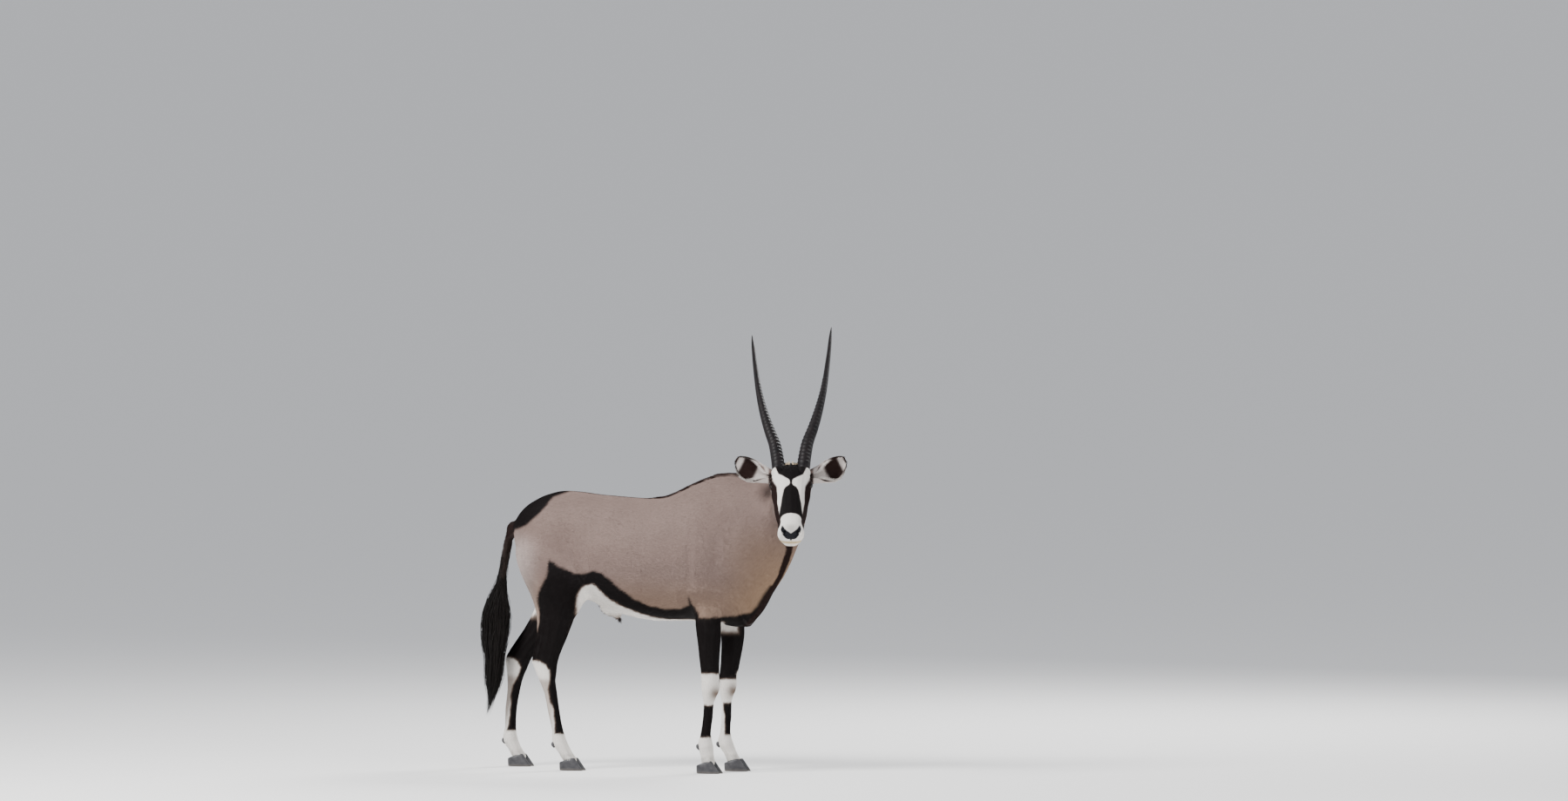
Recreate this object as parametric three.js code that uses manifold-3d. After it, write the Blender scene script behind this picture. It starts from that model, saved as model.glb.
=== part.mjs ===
// A gemsbok bull at life size, standing still with its head turned to its right.
// Millimetres, +X towards its head, +Y to its left, +Z up, hooves on z = 0.

import * as THREE from 'three';
import { LoftGeometry } from 'three/addons/geometries/LoftGeometry.js';
import { mergeVertices } from 'three/addons/utils/BufferGeometryUtils.js';
import Module from 'manifold-3d';

const wasm = await Module();
wasm.setup();

// Driving dimensions
const GAP = 0.3;                // clear space between neighbouring pieces
const HEAD_YAW = 68;            // degrees that the head is turned to its right
const HEAD_PITCH = 44;          // degrees that the face points below level
const POLL = [653, -138, 1311]; // where the line of the face meets the crown
const HORN_LENGTH = { left: 805, right: 760 };
const HORN_RADIUS = 27;         // at the root of the sheath
const HORN_ROOT = [94, 49, -30]; // in the head's own frame, on its left
const HORN_SINK = 14;           // length of horn inside the brow
const RING_COUNT = 18;
const RING_SHARE = 0.6;         // share of the horn that carries rings
const RING_RISE = 2.2;
const HORN_BARE = 30;           // length of horn below the first ring
const EYE_RADIUS = 20;
const EYE_PLACE = [150, 66, -48];
const LID_THICKNESS = 3.4;
const EAR_LENGTH = 184;
const EAR_ROOT = [74, 62, -96];
const EAR_STUB = 24;            // length of ear that stays with the head
const LEG_SPREAD = 102;         // from the middle of the body to a hoof
const HOOF_LENGTH = 98;
const HOOF_WIDTH = 34;          // of one of the two claws
const HOOF_FRONT = 48;          // height of the front wall
const HOOF_BACK = 33;           // height of the heel
const CLAW_OFFSET = 18;         // from the middle of the foot to a claw's middle
const CLAW_SIDES = 10;
const DOCK_TOP = [-600, 0, 1000];
const TUFT_TOP = 762;           // height where the long tail hair begins
const TUFT_TIP = 206;

const COLOURS = {
  fawn: 0x9c8577, dark: 0x2a201c, white: 0xe4dcd2, horn: 0x2f2a29,
  hoof: 0x3a3a42, ear: 0xcfc3b6, eye: 0x120c0a, tail: 0x1c1614,
};

const group = new THREE.Group();
const vector = (values) => new THREE.Vector3(...values);
const degrees = THREE.MathUtils.degToRad;

// Turns a closed three.js geometry into a solid that can be joined and cut.
function solid(geometry) {
  const bare = new THREE.BufferGeometry();
  bare.setAttribute('position', geometry.attributes.position);
  bare.setIndex(geometry.index);
  const shell = mergeVertices(bare, 1e-3);
  const corners = shell.attributes.position.array;
  const faces = [];
  let volume = 0;
  for (let i = 0; i < shell.index.count; i += 3) {
    const face = [0, 1, 2].map((k) => shell.index.getX(i + k));
    if (new Set(face).size < 3) continue;
    const [a, b, c] = face.map((k) => vector(corners.slice(3 * k, 3 * k + 3)));
    volume += a.dot(b.cross(c));
    faces.push(face);
  }
  if (volume < 0) faces.forEach((face) => face.reverse());
  const mesh = new wasm.Mesh({
    numProp: 3,
    vertProperties: new Float32Array(corners),
    triVerts: new Uint32Array(faces.flat()),
  });
  return new wasm.Manifold(mesh);
}

// Skins closed sections, turned to face outwards, and closes both ends.
function skin(sections, place = null) {
  const middleOf = (section) => section.reduce((sum, point) => sum.add(point), new THREE.Vector3())
    .divideScalar(section.length);
  const [from, to] = [middleOf(sections[0]), middleOf(sections[1])];
  const facing = sections[0].reduce((sum, point, i) => {
    const next = sections[0][(i + 1) % sections[0].length].clone().sub(from);
    return sum.add(point.clone().sub(from).cross(next));
  }, new THREE.Vector3());
  const outward = facing.dot(to.sub(from)) > 0;
  const ordered = outward ? sections : sections.map((section) => [...section].reverse());
  const geometry = new LoftGeometry(ordered, { capStart: true, capEnd: true });
  return solid(place ? geometry.applyMatrix4(place) : geometry);
}

const join = (pieces) => pieces.reduce((whole, piece) => whole.add(piece));

// The largest closed surface of a solid, without loose scraps or sealed hollows.
function largest(body) {
  const pieces = body.decompose();
  return pieces.reduce((best, piece) => (piece.volume() > best.volume() ? piece : best));
}

// Splits a solid at a plane, leaving the gap, as [in front of it, behind it].
function part(body, normal, point) {
  const direction = vector(normal).normalize();
  const offset = direction.dot(vector(point));
  const back = direction.clone().negate();
  return [
    body.trimByPlane(direction.toArray(), offset + GAP / 2),
    body.trimByPlane(back.toArray(), GAP / 2 - offset),
  ];
}

function addPart(name, body, colour, roughness = 0.8) {
  const { vertProperties, triVerts } = largest(body).getMesh();
  const geometry = new THREE.BufferGeometry();
  geometry.setAttribute('position', new THREE.BufferAttribute(vertProperties, 3));
  geometry.setIndex(new THREE.BufferAttribute(triVerts, 1));
  geometry.computeVertexNormals();
  const material = new THREE.MeshStandardMaterial({ color: colour, roughness, metalness: 0 });
  const mesh = new THREE.Mesh(geometry, material);
  mesh.name = name;
  group.add(mesh);
}

// A body form is lofted through stations. Each has an upper and a lower point,
// a half width, the yaw of its width, how square it is above and below its
// widest line, and how high that line lies between the two points.
function station(top, low, half, { yaw = 0, above = 2, below = 2, widest = 0.5 } = {}) {
  return {
    top: vector(top),
    low: vector(low),
    size: new THREE.Vector3(half, degrees(yaw), widest),
    power: new THREE.Vector3(above, below, 0),
  };
}

const bent = (value, power) => Math.sign(value) * Math.abs(value) ** (2 / power);

function ring(top, low, size, power, sides, shape) {
  const across = new THREE.Vector3(-Math.sin(size.y), Math.cos(size.y), 0);
  const middle = low.clone().lerp(top, size.z);
  return Array.from({ length: sides }, (_, side) => {
    const turn = (2 * Math.PI * side) / sides;
    const upper = Math.sin(turn) >= 0;
    const square = upper ? power.x : power.y;
    const reach = upper ? top.clone().sub(middle) : middle.clone().sub(low);
    const point = middle.clone();
    point.addScaledVector(across, size.x * bent(Math.cos(turn), square));
    point.addScaledVector(reach, bent(Math.sin(turn), square));
    return shape(point, across);
  });
}

function loft(stations, { rows, sides, shape = (point) => point, place = null }) {
  const rail = (name) => new THREE.CatmullRomCurve3(stations.map((one) => one[name]));
  const rails = ['top', 'low', 'size', 'power'].map(rail);
  const steps = rows * (stations.length - 1);
  const sections = Array.from({ length: steps + 1 }, (_, step) => {
    const values = rails.map((curve) => curve.getPoint(step / steps));
    return ring(...values, sides, shape);
  });
  return skin(sections, place);
}

// Muscles and hollows: each moves the flank outwards, fading around its middle.
function swelling(lumps) {
  return (point, across) => {
    const from = point.clone();
    const side = Math.sign(from.y) * Math.min(1, Math.abs(from.y) / 45);
    for (const { at, spread, out } of lumps) {
      const dx = (from.x - at[0]) / spread[0];
      const dz = (from.z - at[1]) / spread[1];
      point.addScaledVector(across, side * out * Math.exp(-dx * dx - dz * dz));
    }
    return point;
  };
}

function ball(radii, centre, [around, down] = [14, 10]) {
  const geometry = new THREE.SphereGeometry(1, around, down);
  geometry.scale(...radii);
  geometry.translate(...centre);
  return geometry;
}

// Trunk and neck, from the tail to the poll, as one form.
const trunkStations = [
  station([-606, 0, 960], [-600, 0, 900], 14),
  station([-592, 0, 1018], [-580, 0, 830], 66, { above: 2.1 }),
  station([-530, 0, 1080], [-525, 0, 755], 128, { above: 2.2, widest: 0.55 }),
  station([-400, 0, 1130], [-420, 0, 712], 172, { above: 2.1, widest: 0.52 }),
  station([-240, 0, 1118], [-290, 0, 686], 184, { above: 2, widest: 0.48 }),
  station([-80, 0, 1107], [-130, 0, 628], 208, { above: 2, below: 2.2, widest: 0.46 }),
  station([60, 0, 1108], [20, 0, 603], 214, { above: 1.9, below: 2.2, widest: 0.46 }),
  station([170, 0, 1158], [170, 0, 606], 198, { above: 1.75, below: 2.1, widest: 0.45 }),
  station([290, 0, 1203], [300, 0, 595], 178, { above: 1.6, below: 2, widest: 0.44 }),
  station([375, 0, 1207], [420, 0, 588], 158, { above: 1.6, below: 2, widest: 0.44 }),
  station([445, 0, 1194], [497, 0, 700], 134, { yaw: -4, above: 1.8, widest: 0.46 }),
  station([505, -5, 1190], [556, -3, 785], 112, { yaw: -12, above: 1.8, widest: 0.5 }),
  station([560, -25, 1198], [603, -25, 890], 96, { yaw: -26, above: 1.8 }),
  station([605, -65, 1216], [630, -55, 985], 84, { yaw: -44, above: 1.9 }),
  station([635, -105, 1240], [641, -85, 1068], 76, { yaw: -60 }),
  station([655, -140, 1235], [652, -128, 1098], 62, { yaw: -68 }),
  station([664, -160, 1190], [664, -158, 1150], 20, { yaw: -68 }),
];
const trunkForms = swelling([
  { at: [255, 930], spread: [85, 150], out: 13 },   // shoulder blade
  { at: [315, 800], spread: [60, 80], out: 10 },    // point of the shoulder
  { at: [268, 715], spread: [84, 75], out: 30 },    // muscle above the elbow
  { at: [150, 850], spread: [26, 170], out: -7 },   // crease behind the shoulder
  { at: [-225, 930], spread: [70, 90], out: -15 },  // hollow of the flank
  { at: [-330, 1040], spread: [45, 36], out: 12 },  // point of the hip
  { at: [440, 880], spread: [50, 190], out: -6 },   // groove before the shoulder
]);
const trunk = loft(trunkStations, { rows: 2, sides: 26, shape: trunkForms });
const sheath = new THREE.SphereGeometry(1, 12, 8);
sheath.scale(58, 24, 30);
sheath.rotateY(degrees(14));
sheath.translate(-186, 0, 648);

// Legs: front and back edge in side view, middle in Y and half width.
// A lean moves the whole outline along X with height, for the stance.
const hindOutline = [
  [[-360, 1010], [-500, 1000], 64, 36], [[-300, 950], [-552, 945], 84, 70],
  [[-248, 860], [-566, 878], 102, 87], [[-228, 770], [-540, 800], 112, 91],
  [[-243, 690], [-498, 720], 114, 76], [[-298, 610], [-468, 640], 111, 58],
  [[-335, 530], [-464, 560], 106, 46], [[-366, 465], [-482, 480], 101, 38],
  [[-382, 412], [-486, 436], 98, 36], [[-388, 368], [-462, 372], 98, 32],
  [[-380, 312], [-436, 312], 98, 25], [[-369, 236], [-420, 236], 98, 22],
  [[-353, 160], [-401, 158], 99, 23], [[-335, 112], [-396, 104], 100, 31],
  [[-308, 66], [-358, 56], 101, 27], [[-283, HOOF_FRONT], [-346, HOOF_BACK], 101, 32],
];
const foreOutline = [
  [[325, 820], [225, 820], 88, 36], [[345, 745], [208, 745], 98, 48],
  [[350, 668], [214, 678], 110, 52], [[338, 604], [230, 606], 116, 50],
  [[335, 540], [240, 540], 116, 45], [[332, 470], [246, 470], 113, 39],
  [[330, 410], [252, 410], 110, 36], [[331, 368], [254, 362], 108, 37],
  [[322, 325], [257, 318], 106, 33], [[305, 285], [262, 280], 105, 25],
  [[300, 225], [258, 225], 104, 22], [[291, 160], [247, 155], 103, 23],
  [[300, 116], [236, 108], 102, 31], [[306, 68], [254, 58], 102, 27],
  [[318, HOOF_FRONT], [250, HOOF_BACK], 102, 32],
];
const hindLean = [[0, -311], [60, -306], [110, -302], [220, -274], [310, -244], [380, -215],
  [470, -188], [540, -155], [620, -112], [730, -48], [860, 0]];
const foreLean = [[0, 38], [60, 22], [110, 4], [225, -3], [365, -14], [450, 2], [560, 10], [820, 0]];

function leanAt(lean, height) {
  let [before] = lean;
  for (const after of lean) {
    if (height <= after[0]) {
      const share = (height - before[0]) / Math.max(1, after[0] - before[0]);
      return before[1] + (after[1] - before[1]) * share;
    }
    before = after;
  }
  return before[1];
}

function legForm(outline, side, lean) {
  const stations = outline.map(([front, back, middle, half]) => station(
    [front[0] + leanAt(lean, front[1]), side * middle, front[1]],
    [back[0] + leanAt(lean, back[1]), side * middle, back[1]],
    half,
    { above: 2.1, below: 2.1 },
  ));
  return loft(stations, { rows: 2, sides: 12 });
}

// Hooves: two claws a foot, each from a flat sole up to the edge of the skin.
function clawForm(toe, middle, side) {
  const levels = [
    { height: 0, long: 0.97, wide: 0.94, back: 0 },
    { height: 0.12, long: 1, wide: 1, back: 0.02 },
    { height: 0.55, long: 0.84, wide: 0.97, back: 0.3 },
    { height: 1.12, long: 0.68, wide: 0.9, back: 0.62 },
  ];
  const sections = levels.map(({ height, long, wide, back }) => {
    const length = HOOF_LENGTH * long;
    const front = toe - back * HOOF_FRONT * 0.82;
    return Array.from({ length: CLAW_SIDES }, (_, step) => {
      const turn = (2 * Math.PI * step) / CLAW_SIDES;
      const outer = Math.sin(turn) > 0 ? 1 : 0.72;
      const narrow = 1 - 0.22 * Math.cos(turn);
      const x = front - length / 2 + (length / 2) * bent(Math.cos(turn), 2.2);
      const y = (HOOF_WIDTH / 2) * wide * outer * narrow * Math.sin(turn);
      const heel = THREE.MathUtils.lerp(HOOF_FRONT, HOOF_BACK, (front - x) / length);
      return new THREE.Vector3(x, middle + side * y, height * heel);
    });
  });
  return skin(sections);
}

const feet = [
  { name: 'hindleg', side: -1, sideName: 'right', toe: -261, fetlock: [-388, 102], lean: [[0, 0]] },
  { name: 'hindleg', side: 1, sideName: 'left', toe: -572, fetlock: [-690, 102], lean: hindLean },
  { name: 'foreleg', side: -1, sideName: 'right', toe: 336, fetlock: [243, 106], lean: [[0, 0]] },
  { name: 'foreleg', side: 1, sideName: 'left', toe: 374, fetlock: [247, 106], lean: foreLean },
];

// Head, in its own frame: x along the face, y to its left, z out of the brow.
const faceLine = new THREE.Vector3(
  Math.cos(degrees(HEAD_PITCH)) * Math.cos(degrees(HEAD_YAW)),
  -Math.cos(degrees(HEAD_PITCH)) * Math.sin(degrees(HEAD_YAW)),
  -Math.sin(degrees(HEAD_PITCH)),
);
const headLeft = new THREE.Vector3(Math.sin(degrees(HEAD_YAW)), Math.cos(degrees(HEAD_YAW)), 0);
const headUp = faceLine.clone().cross(headLeft);
const headFrame = new THREE.Matrix4().makeBasis(faceLine, headLeft, headUp);
headFrame.setPosition(...POLL);
const inHead = (point) => vector(point).applyMatrix4(headFrame).toArray();
const alongHead = (direction) => vector(direction).transformDirection(headFrame).toArray();
const headSolid = (geometry) => solid(geometry.applyMatrix4(headFrame));

// Distance from the poll, height of the brow line and of the jaw line, half width.
const headOutline = [
  [-4, -98, -128, 16], [9, -70, -154, 46], [32, -42, -174, 63], [62, -19, -187, 73],
  [96, -6, -190, 77], [140, 0, -181, 77], [190, -2, -162, 72], [245, -4, -140, 65],
  [300, -7, -125, 59], [350, -10, -120, 54], [388, -13, -127, 51], [411, -19, -129, 50],
  [426, -32, -121, 44], [434, -52, -98, 22],
];
const headForms = swelling([
  { at: [150, -44], spread: [32, 26], out: 9 },    // orbit
  { at: [215, -76], spread: [60, 14], out: 4 },    // ridge below the eye
  { at: [112, -130], spread: [48, 38], out: 4 },   // jaw muscle
  { at: [222, -38], spread: [34, 22], out: -5 },   // hollow before the eye
  { at: [235, -112], spread: [40, 20], out: -4 },  // hollow of the cheek
  { at: [416, -40], spread: [18, 14], out: 5 },    // wing of the nostril
  { at: [372, -45], spread: [26, 22], out: -3 },   // behind the nostril
  { at: [396, -76], spread: [34, 12], out: 4 },    // upper lip
  { at: [330, -92], spread: [16, 10], out: -3 },   // corner of the mouth
]);

function headForm(inset) {
  const pulledBack = (x) => x - inset * THREE.MathUtils.smoothstep(x, 350, 434);
  const stations = headOutline.map(([x, brow, jaw, half]) => station(
    [pulledBack(x), 0, brow - inset],
    [pulledBack(x), 0, jaw + inset],
    half - inset,
    { above: 2.7, below: 2.1, widest: 0.56 },
  ));
  return loft(stations, { rows: inset ? 1 : 2, sides: 24, shape: headForms, place: headFrame });
}

// The mouth is a groove of even depth round the muzzle, from corner to corner.
const MOUTH_LINE = [[318, -84], [345, -92], [385, -92], [415, -87], [445, -82]];
const MOUTH_GAPE = 1.3;
const MOUTH_DEPTH = 5;
function mouthGroove() {
  const upper = MOUTH_LINE.map(([x, z]) => new THREE.Vector2(x, z + MOUTH_GAPE));
  const lower = MOUTH_LINE.slice(1).map(([x, z]) => new THREE.Vector2(x, z - MOUTH_GAPE));
  const outline = new THREE.Shape([...upper, ...lower.reverse()]);
  const geometry = new THREE.ExtrudeGeometry(outline, { depth: 160, bevelEnabled: false });
  geometry.rotateX(Math.PI / 2);
  geometry.translate(0, 80, 0);
  return headSolid(geometry).subtract(headForm(MOUTH_DEPTH));
}

function nostril(side) {
  const geometry = new THREE.SphereGeometry(1, 10, 6);
  geometry.scale(16, 5, 10);
  geometry.rotateX(side * degrees(34));
  geometry.rotateZ(side * degrees(20));
  geometry.translate(424, side * 28, -36);
  return headSolid(geometry);
}

// Lids: a thin shell round the eyeball, open along an almond.
const EYE_AIM = [0.24, 0.92, 0.3];
const EYE_RINGS = [16, 10];
function eyeSpot(side) {
  const centre = [EYE_PLACE[0], side * EYE_PLACE[1], EYE_PLACE[2]];
  const aim = vector([EYE_AIM[0], side * EYE_AIM[1], EYE_AIM[2]]).normalize();
  return { centre, aim };
}

function lidOpening(side) {
  const { centre, aim } = eyeSpot(side);
  const almond = new THREE.Shape();
  almond.moveTo(-18, -3);
  almond.quadraticCurveTo(-2, 23, 17, 2);
  almond.quadraticCurveTo(0, -21, -18, -3);
  const geometry = new THREE.ExtrudeGeometry(almond, { depth: 40, bevelEnabled: false, curveSegments: 6 });
  const along = new THREE.Vector3(1, 0, 0).addScaledVector(aim, -aim.x).normalize();
  const up = aim.clone().cross(along).multiplyScalar(-side);
  const frame = new THREE.Matrix4().makeBasis(along, up, aim);
  frame.setPosition(...centre);
  return headSolid(geometry.applyMatrix4(frame));
}

const eyeBall = (side, radius, rings) => headSolid(
  ball([radius, radius, radius], eyeSpot(side).centre, rings),
);

// Ears: a wide cup, rolled shut at the root and open to the front beyond it.
const EAR_AIM = [-0.467, 0.87, 0.153];
const EAR_FRONT = [0.72, 0.12, 0.69];
const earOutline = [
  { at: 0, half: 28, deep: 24, open: 172, drop: 0 },
  { at: 0.14, half: 31, deep: 25, open: 170, drop: 0 },
  { at: 0.27, half: 36, deep: 27, open: 158, drop: 5 },
  { at: 0.4, half: 43, deep: 29, open: 134, drop: 10 },
  { at: 0.54, half: 49, deep: 29, open: 110, drop: 14 },
  { at: 0.68, half: 48, deep: 26, open: 98, drop: 14 },
  { at: 0.8, half: 42, deep: 20, open: 90, drop: 10 },
  { at: 0.91, half: 29, deep: 12, open: 84, drop: 4 },
  { at: 0.98, half: 14, deep: 5, open: 80, drop: 0 },
  { at: 1, half: 6, deep: 2.5, open: 78, drop: -1 },
];
const EAR_WALL = 4;
const EAR_ARC_STEPS = 9;

function earFrame(side) {
  const aim = vector([EAR_AIM[0], side * EAR_AIM[1], EAR_AIM[2]]).normalize();
  const front = vector([EAR_FRONT[0], side * EAR_FRONT[1], EAR_FRONT[2]]);
  front.addScaledVector(aim, -front.dot(aim)).normalize();
  const frame = new THREE.Matrix4().makeBasis(aim, front, aim.clone().cross(front));
  frame.setPosition(EAR_ROOT[0], side * EAR_ROOT[1], EAR_ROOT[2]);
  return frame;
}

function earForm(side) {
  const sections = earOutline.map(({ at, half, deep, open, drop }) => {
    const wall = Math.min(EAR_WALL, deep * 0.45);
    const arc = (inset, from, to, steps) => Array.from({ length: steps }, (_, step) => {
      const turn = degrees(THREE.MathUtils.lerp(from, to, step / (steps - 1)));
      const front = -(deep - inset) * Math.cos(turn);
      const across = (half - inset) * Math.sin(turn) + side * drop;
      return new THREE.Vector3(EAR_LENGTH * at, front, across);
    });
    const outside = arc(0, -open, open, EAR_ARC_STEPS);
    const inside = arc(wall, open - 2, 2 - open, EAR_ARC_STEPS - 2);
    return [...outside, ...inside];
  });
  return skin(sections, headFrame.clone().multiply(earFrame(side)));
}

function earRegion(side, slack) {
  const length = EAR_LENGTH * 1.3;
  const width = 2 * earOutline[5].half + 40;
  const geometry = new THREE.BoxGeometry(length + 2 * slack, width + 2 * slack, width + 2 * slack);
  geometry.translate(EAR_STUB + length / 2, 0, 0);
  return headSolid(geometry.applyMatrix4(earFrame(side)));
}

// Horns: long, gently bowed, spreading apart, ringed up to their plain tips.
function hornPath(side, length) {
  const marks = [[-HORN_SINK / length, -0.002], [0, 0], [0.1, 0.01], [0.19, 0.024],
    [0.275, 0.048], [0.5, 0.096], [0.75, 0.124], [1, 0.142]];
  return new THREE.CatmullRomCurve3(marks.map(([along, apart]) => {
    const bow = length * (0.105 * along - 0.088 * along * Math.abs(along));
    const x = HORN_ROOT[0] - length * along * 0.985;
    return new THREE.Vector3(x, side * (HORN_ROOT[1] + length * apart), HORN_ROOT[2] + bow);
  }));
}

const hornTaper = new THREE.SplineCurve([
  [0, 1], [0.12, 0.93], [0.3, 0.76], [0.55, 0.48], [0.8, 0.31], [0.95, 0.17], [1, 0.06],
].map(([along, share]) => new THREE.Vector2(along, share)));

// Levels are [distance from the root, extra radius], the root being at the crown.
function hornForm(side, levels) {
  const length = HORN_LENGTH[side > 0 ? 'left' : 'right'];
  const path = hornPath(side, length);
  const sections = levels(length).map(([distance, rise]) => {
    const at = Math.max(0, (distance + HORN_SINK) / (length + HORN_SINK));
    const middle = path.getPointAt(at);
    const ahead = path.getTangentAt(at);
    middle.addScaledVector(ahead, Math.min(0, distance + HORN_SINK));
    const share = hornTaper.getPoint(Math.max(0, distance / length)).y;
    const across = new THREE.Vector3(0, 1, 0).addScaledVector(ahead, -ahead.y).normalize();
    const out = ahead.clone().cross(across);
    return Array.from({ length: 10 }, (_, step) => {
      const turn = (2 * Math.PI * step) / 10;
      const radius = HORN_RADIUS * share + rise;
      const point = middle.clone();
      point.addScaledVector(across, radius * 0.97 * Math.cos(turn));
      return point.addScaledVector(out, radius * Math.sin(turn));
    });
  });
  return skin(sections, headFrame);
}

function ringedLevels(length) {
  const levels = [[-HORN_SINK, 0], [0, 0], [HORN_BARE, 0]];
  const step = (length * RING_SHARE) / RING_COUNT;
  for (let i = 0; i < RING_COUNT; i++) {
    const start = HORN_BARE + step * i;
    levels.push([start + 0.5 * step, RING_RISE * (1 - (0.55 * i) / RING_COUNT)]);
    levels.push([start + step, 0]);
  }
  const plain = [0.7, 0.77, 0.84, 0.9, 0.95, 1];
  return [...levels, ...plain.map((at) => [length * at, 0])];
}

const COLLAR_END = 6;           // where the skin round the horn's root ends
const collarLevels = () => [[-44, -17], [-30, -4], [-HORN_SINK, 2.5], [-4, 3], [COLLAR_END, 2]];
const socketLevels = () => [
  [-HORN_SINK - GAP, GAP], [0, GAP], [COLLAR_END + 4, GAP], [COLLAR_END + 10, 3], [120, 3],
];

// Tail: a slim dock, then long hair in flat locks over a narrow core.
const tailPath = new THREE.CatmullRomCurve3([
  [-560, 0, 1010], DOCK_TOP, [-628, 0, 930], [-650, 0, 840], [-663, 0, TUFT_TOP],
  [-680, 0, 640], [-690, 0, 520], [-706, 0, 400], [-724, 0, TUFT_TIP],
].map(vector));
const tailAt = (height) => {
  const from = tailPath.points.findIndex((point) => point.z <= height);
  const [before, after] = [tailPath.points[Math.max(0, from - 1)], tailPath.points[from]];
  const share = (before.z - height) / Math.max(1, before.z - after.z);
  return before.clone().lerp(after, share);
};

function tube(points, radii, sides, flatten = 1) {
  const sections = points.map((point, i) => Array.from({ length: sides }, (_, step) => {
    const turn = (2 * Math.PI * step) / sides;
    const side = radii[i] * flatten * Math.cos(turn);
    return point.clone().add(new THREE.Vector3(radii[i] * Math.sin(turn), side, 0));
  }));
  return skin(sections);
}

const dockHeights = [1004, 985, 960, 920, 880, 840, 800, TUFT_TOP - 20];
const dockRadii = [30, 27, 23, 19, 17, 15, 15, 15];
const dock = tube(dockHeights.map(tailAt), dockRadii, 10);

// One lock leaves the core, swings out to its reach and hangs to a point.
const TUFT_SQUASH = 0.84;
function lock({ height, turn, length, reach, tip, width, curl }) {
  const steps = 5;
  const out = new THREE.Vector3(Math.cos(turn), Math.sin(turn) * TUFT_SQUASH, 0);
  const across = new THREE.Vector3(-Math.sin(turn), Math.cos(turn) * TUFT_SQUASH, 0);
  const sections = Array.from({ length: steps + 1 }, (_, step) => {
    const along = step / steps;
    const low = height - length * along;
    const middle = tailAt(Math.max(TUFT_TIP, low)).setZ(low);
    const swing = THREE.MathUtils.smoothstep(along, -0.1, 0.62);
    const away = THREE.MathUtils.lerp(9, reach, swing) + (tip - reach) * along ** 3;
    middle.addScaledVector(out, away);
    middle.addScaledVector(across, curl * Math.sin(Math.PI * along));
    const half = (width / 2) * (0.55 + 0.45 * Math.sin(Math.PI * along)) * (1 - 0.88 * along ** 3);
    const thick = 6.5 * (1 - 0.7 * along ** 2);
    return [[half, -thick / 2], [0, thick / 2], [-half, -thick / 2]].map(([w, t]) => (
      middle.clone().addScaledVector(across, w).addScaledVector(out, t)
    ));
  });
  return skin(sections);
}

const LOCK_TIERS = [
  { height: 772, count: 5, length: 260, reach: 46, tip: 44, width: 52 },
  { height: 702, count: 6, length: 262, reach: 53, tip: 46, width: 54 },
  { height: 620, count: 5, length: 258, reach: 46, tip: 34, width: 50 },
  { height: 530, count: 4, length: 250, reach: 33, tip: 24, width: 42 },
  { height: 440, count: 3, length: 234, reach: 20, tip: 3, width: 34 },
];

function tuftForm() {
  const heights = [TUFT_TOP + 20, 720, 650, 560, 470, 380, 290];
  const pieces = [tube(heights.map(tailAt), [15, 20, 25, 23, 18, 12, 5], 8, TUFT_SQUASH)];
  LOCK_TIERS.forEach(({ height, count, length, reach, tip, width }, tier) => {
    for (let i = 0; i < count; i++) {
      const vary = Math.sin(7.3 * i + 4.1 * tier);
      pieces.push(lock({
        height: height + 10 * vary,
        turn: (2 * Math.PI * (i + 0.5 * (tier % 2) + 0.1 * vary)) / count,
        length: length * (1 + 0.06 * vary),
        reach: reach + 2 * (-1) ** i,
        tip,
        width,
        curl: 5 * Math.cos(5 * i + 2 * tier),
      }));
    }
  });
  return join(pieces);
}

// The flesh is joined whole, then parted with thin cuts.
const legs = feet.map(({ name, side, lean }) => (
  legForm(name === 'hindleg' ? hindOutline : foreOutline, side, lean)
));
const collars = [1, -1].map((side) => hornForm(side, collarLevels));
const lidBalls = [1, -1].map((side) => eyeBall(side, EYE_RADIUS + LID_THICKNESS, [14, 10]));
const flesh = join([
  trunk, solid(sheath), dock, ...legs, headForm(0), ...collars, ...lidBalls,
  earForm(1), earForm(-1),
]);

const NECK_CUT = { normal: [0.985, 0, 0.17], point: [412, 0, 900] };
const HEAD_CUT = { normal: alongHead([0.77, 0, 0.64]), point: inHead([12, 0, -66]) };
const TAIL_CUT = { normal: [-0.93, 0, -0.36], point: [-616, 0, 975] };
const THIGH_CUT = { normal: [0.22, 0, -0.97], point: [-400, 0, 800] };
const GROIN_CUT = { normal: [-0.974, 0, 0.226], point: [-218, 0, 790] };

const [front, behind] = part(flesh, NECK_CUT.normal, NECK_CUT.point);
let earless = front;
for (const side of [1, -1]) {
  addPart(`ear_${side > 0 ? 'left' : 'right'}`, front.intersect(earRegion(side, 0)), COLOURS.ear);
  earless = earless.subtract(earRegion(side, GAP));
}
const [wholeHead, neck] = part(earless, HEAD_CUT.normal, HEAD_CUT.point);

let head = wholeHead;
for (const side of [1, -1]) {
  const name = side > 0 ? 'left' : 'right';
  head = head.subtract(hornForm(side, socketLevels));
  head = head.subtract(lidOpening(side));
  head = head.subtract(eyeBall(side, EYE_RADIUS + GAP, EYE_RINGS));
  head = head.subtract(nostril(side));
  addPart(`horn_${name}`, hornForm(side, ringedLevels), COLOURS.horn, 0.5);
  addPart(`eye_${name}`, eyeBall(side, EYE_RADIUS, EYE_RINGS), COLOURS.eye, 0.05);
}
addPart('head', head.subtract(mouthGroove()), COLOURS.fawn);
addPart('neck', neck, COLOURS.fawn);

const box = (low, high) => {
  const size = high.map((value, axis) => value - low[axis]);
  const geometry = new THREE.BoxGeometry(...size);
  geometry.translate(...low.map((value, axis) => value + size[axis] / 2));
  return solid(geometry);
};

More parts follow.
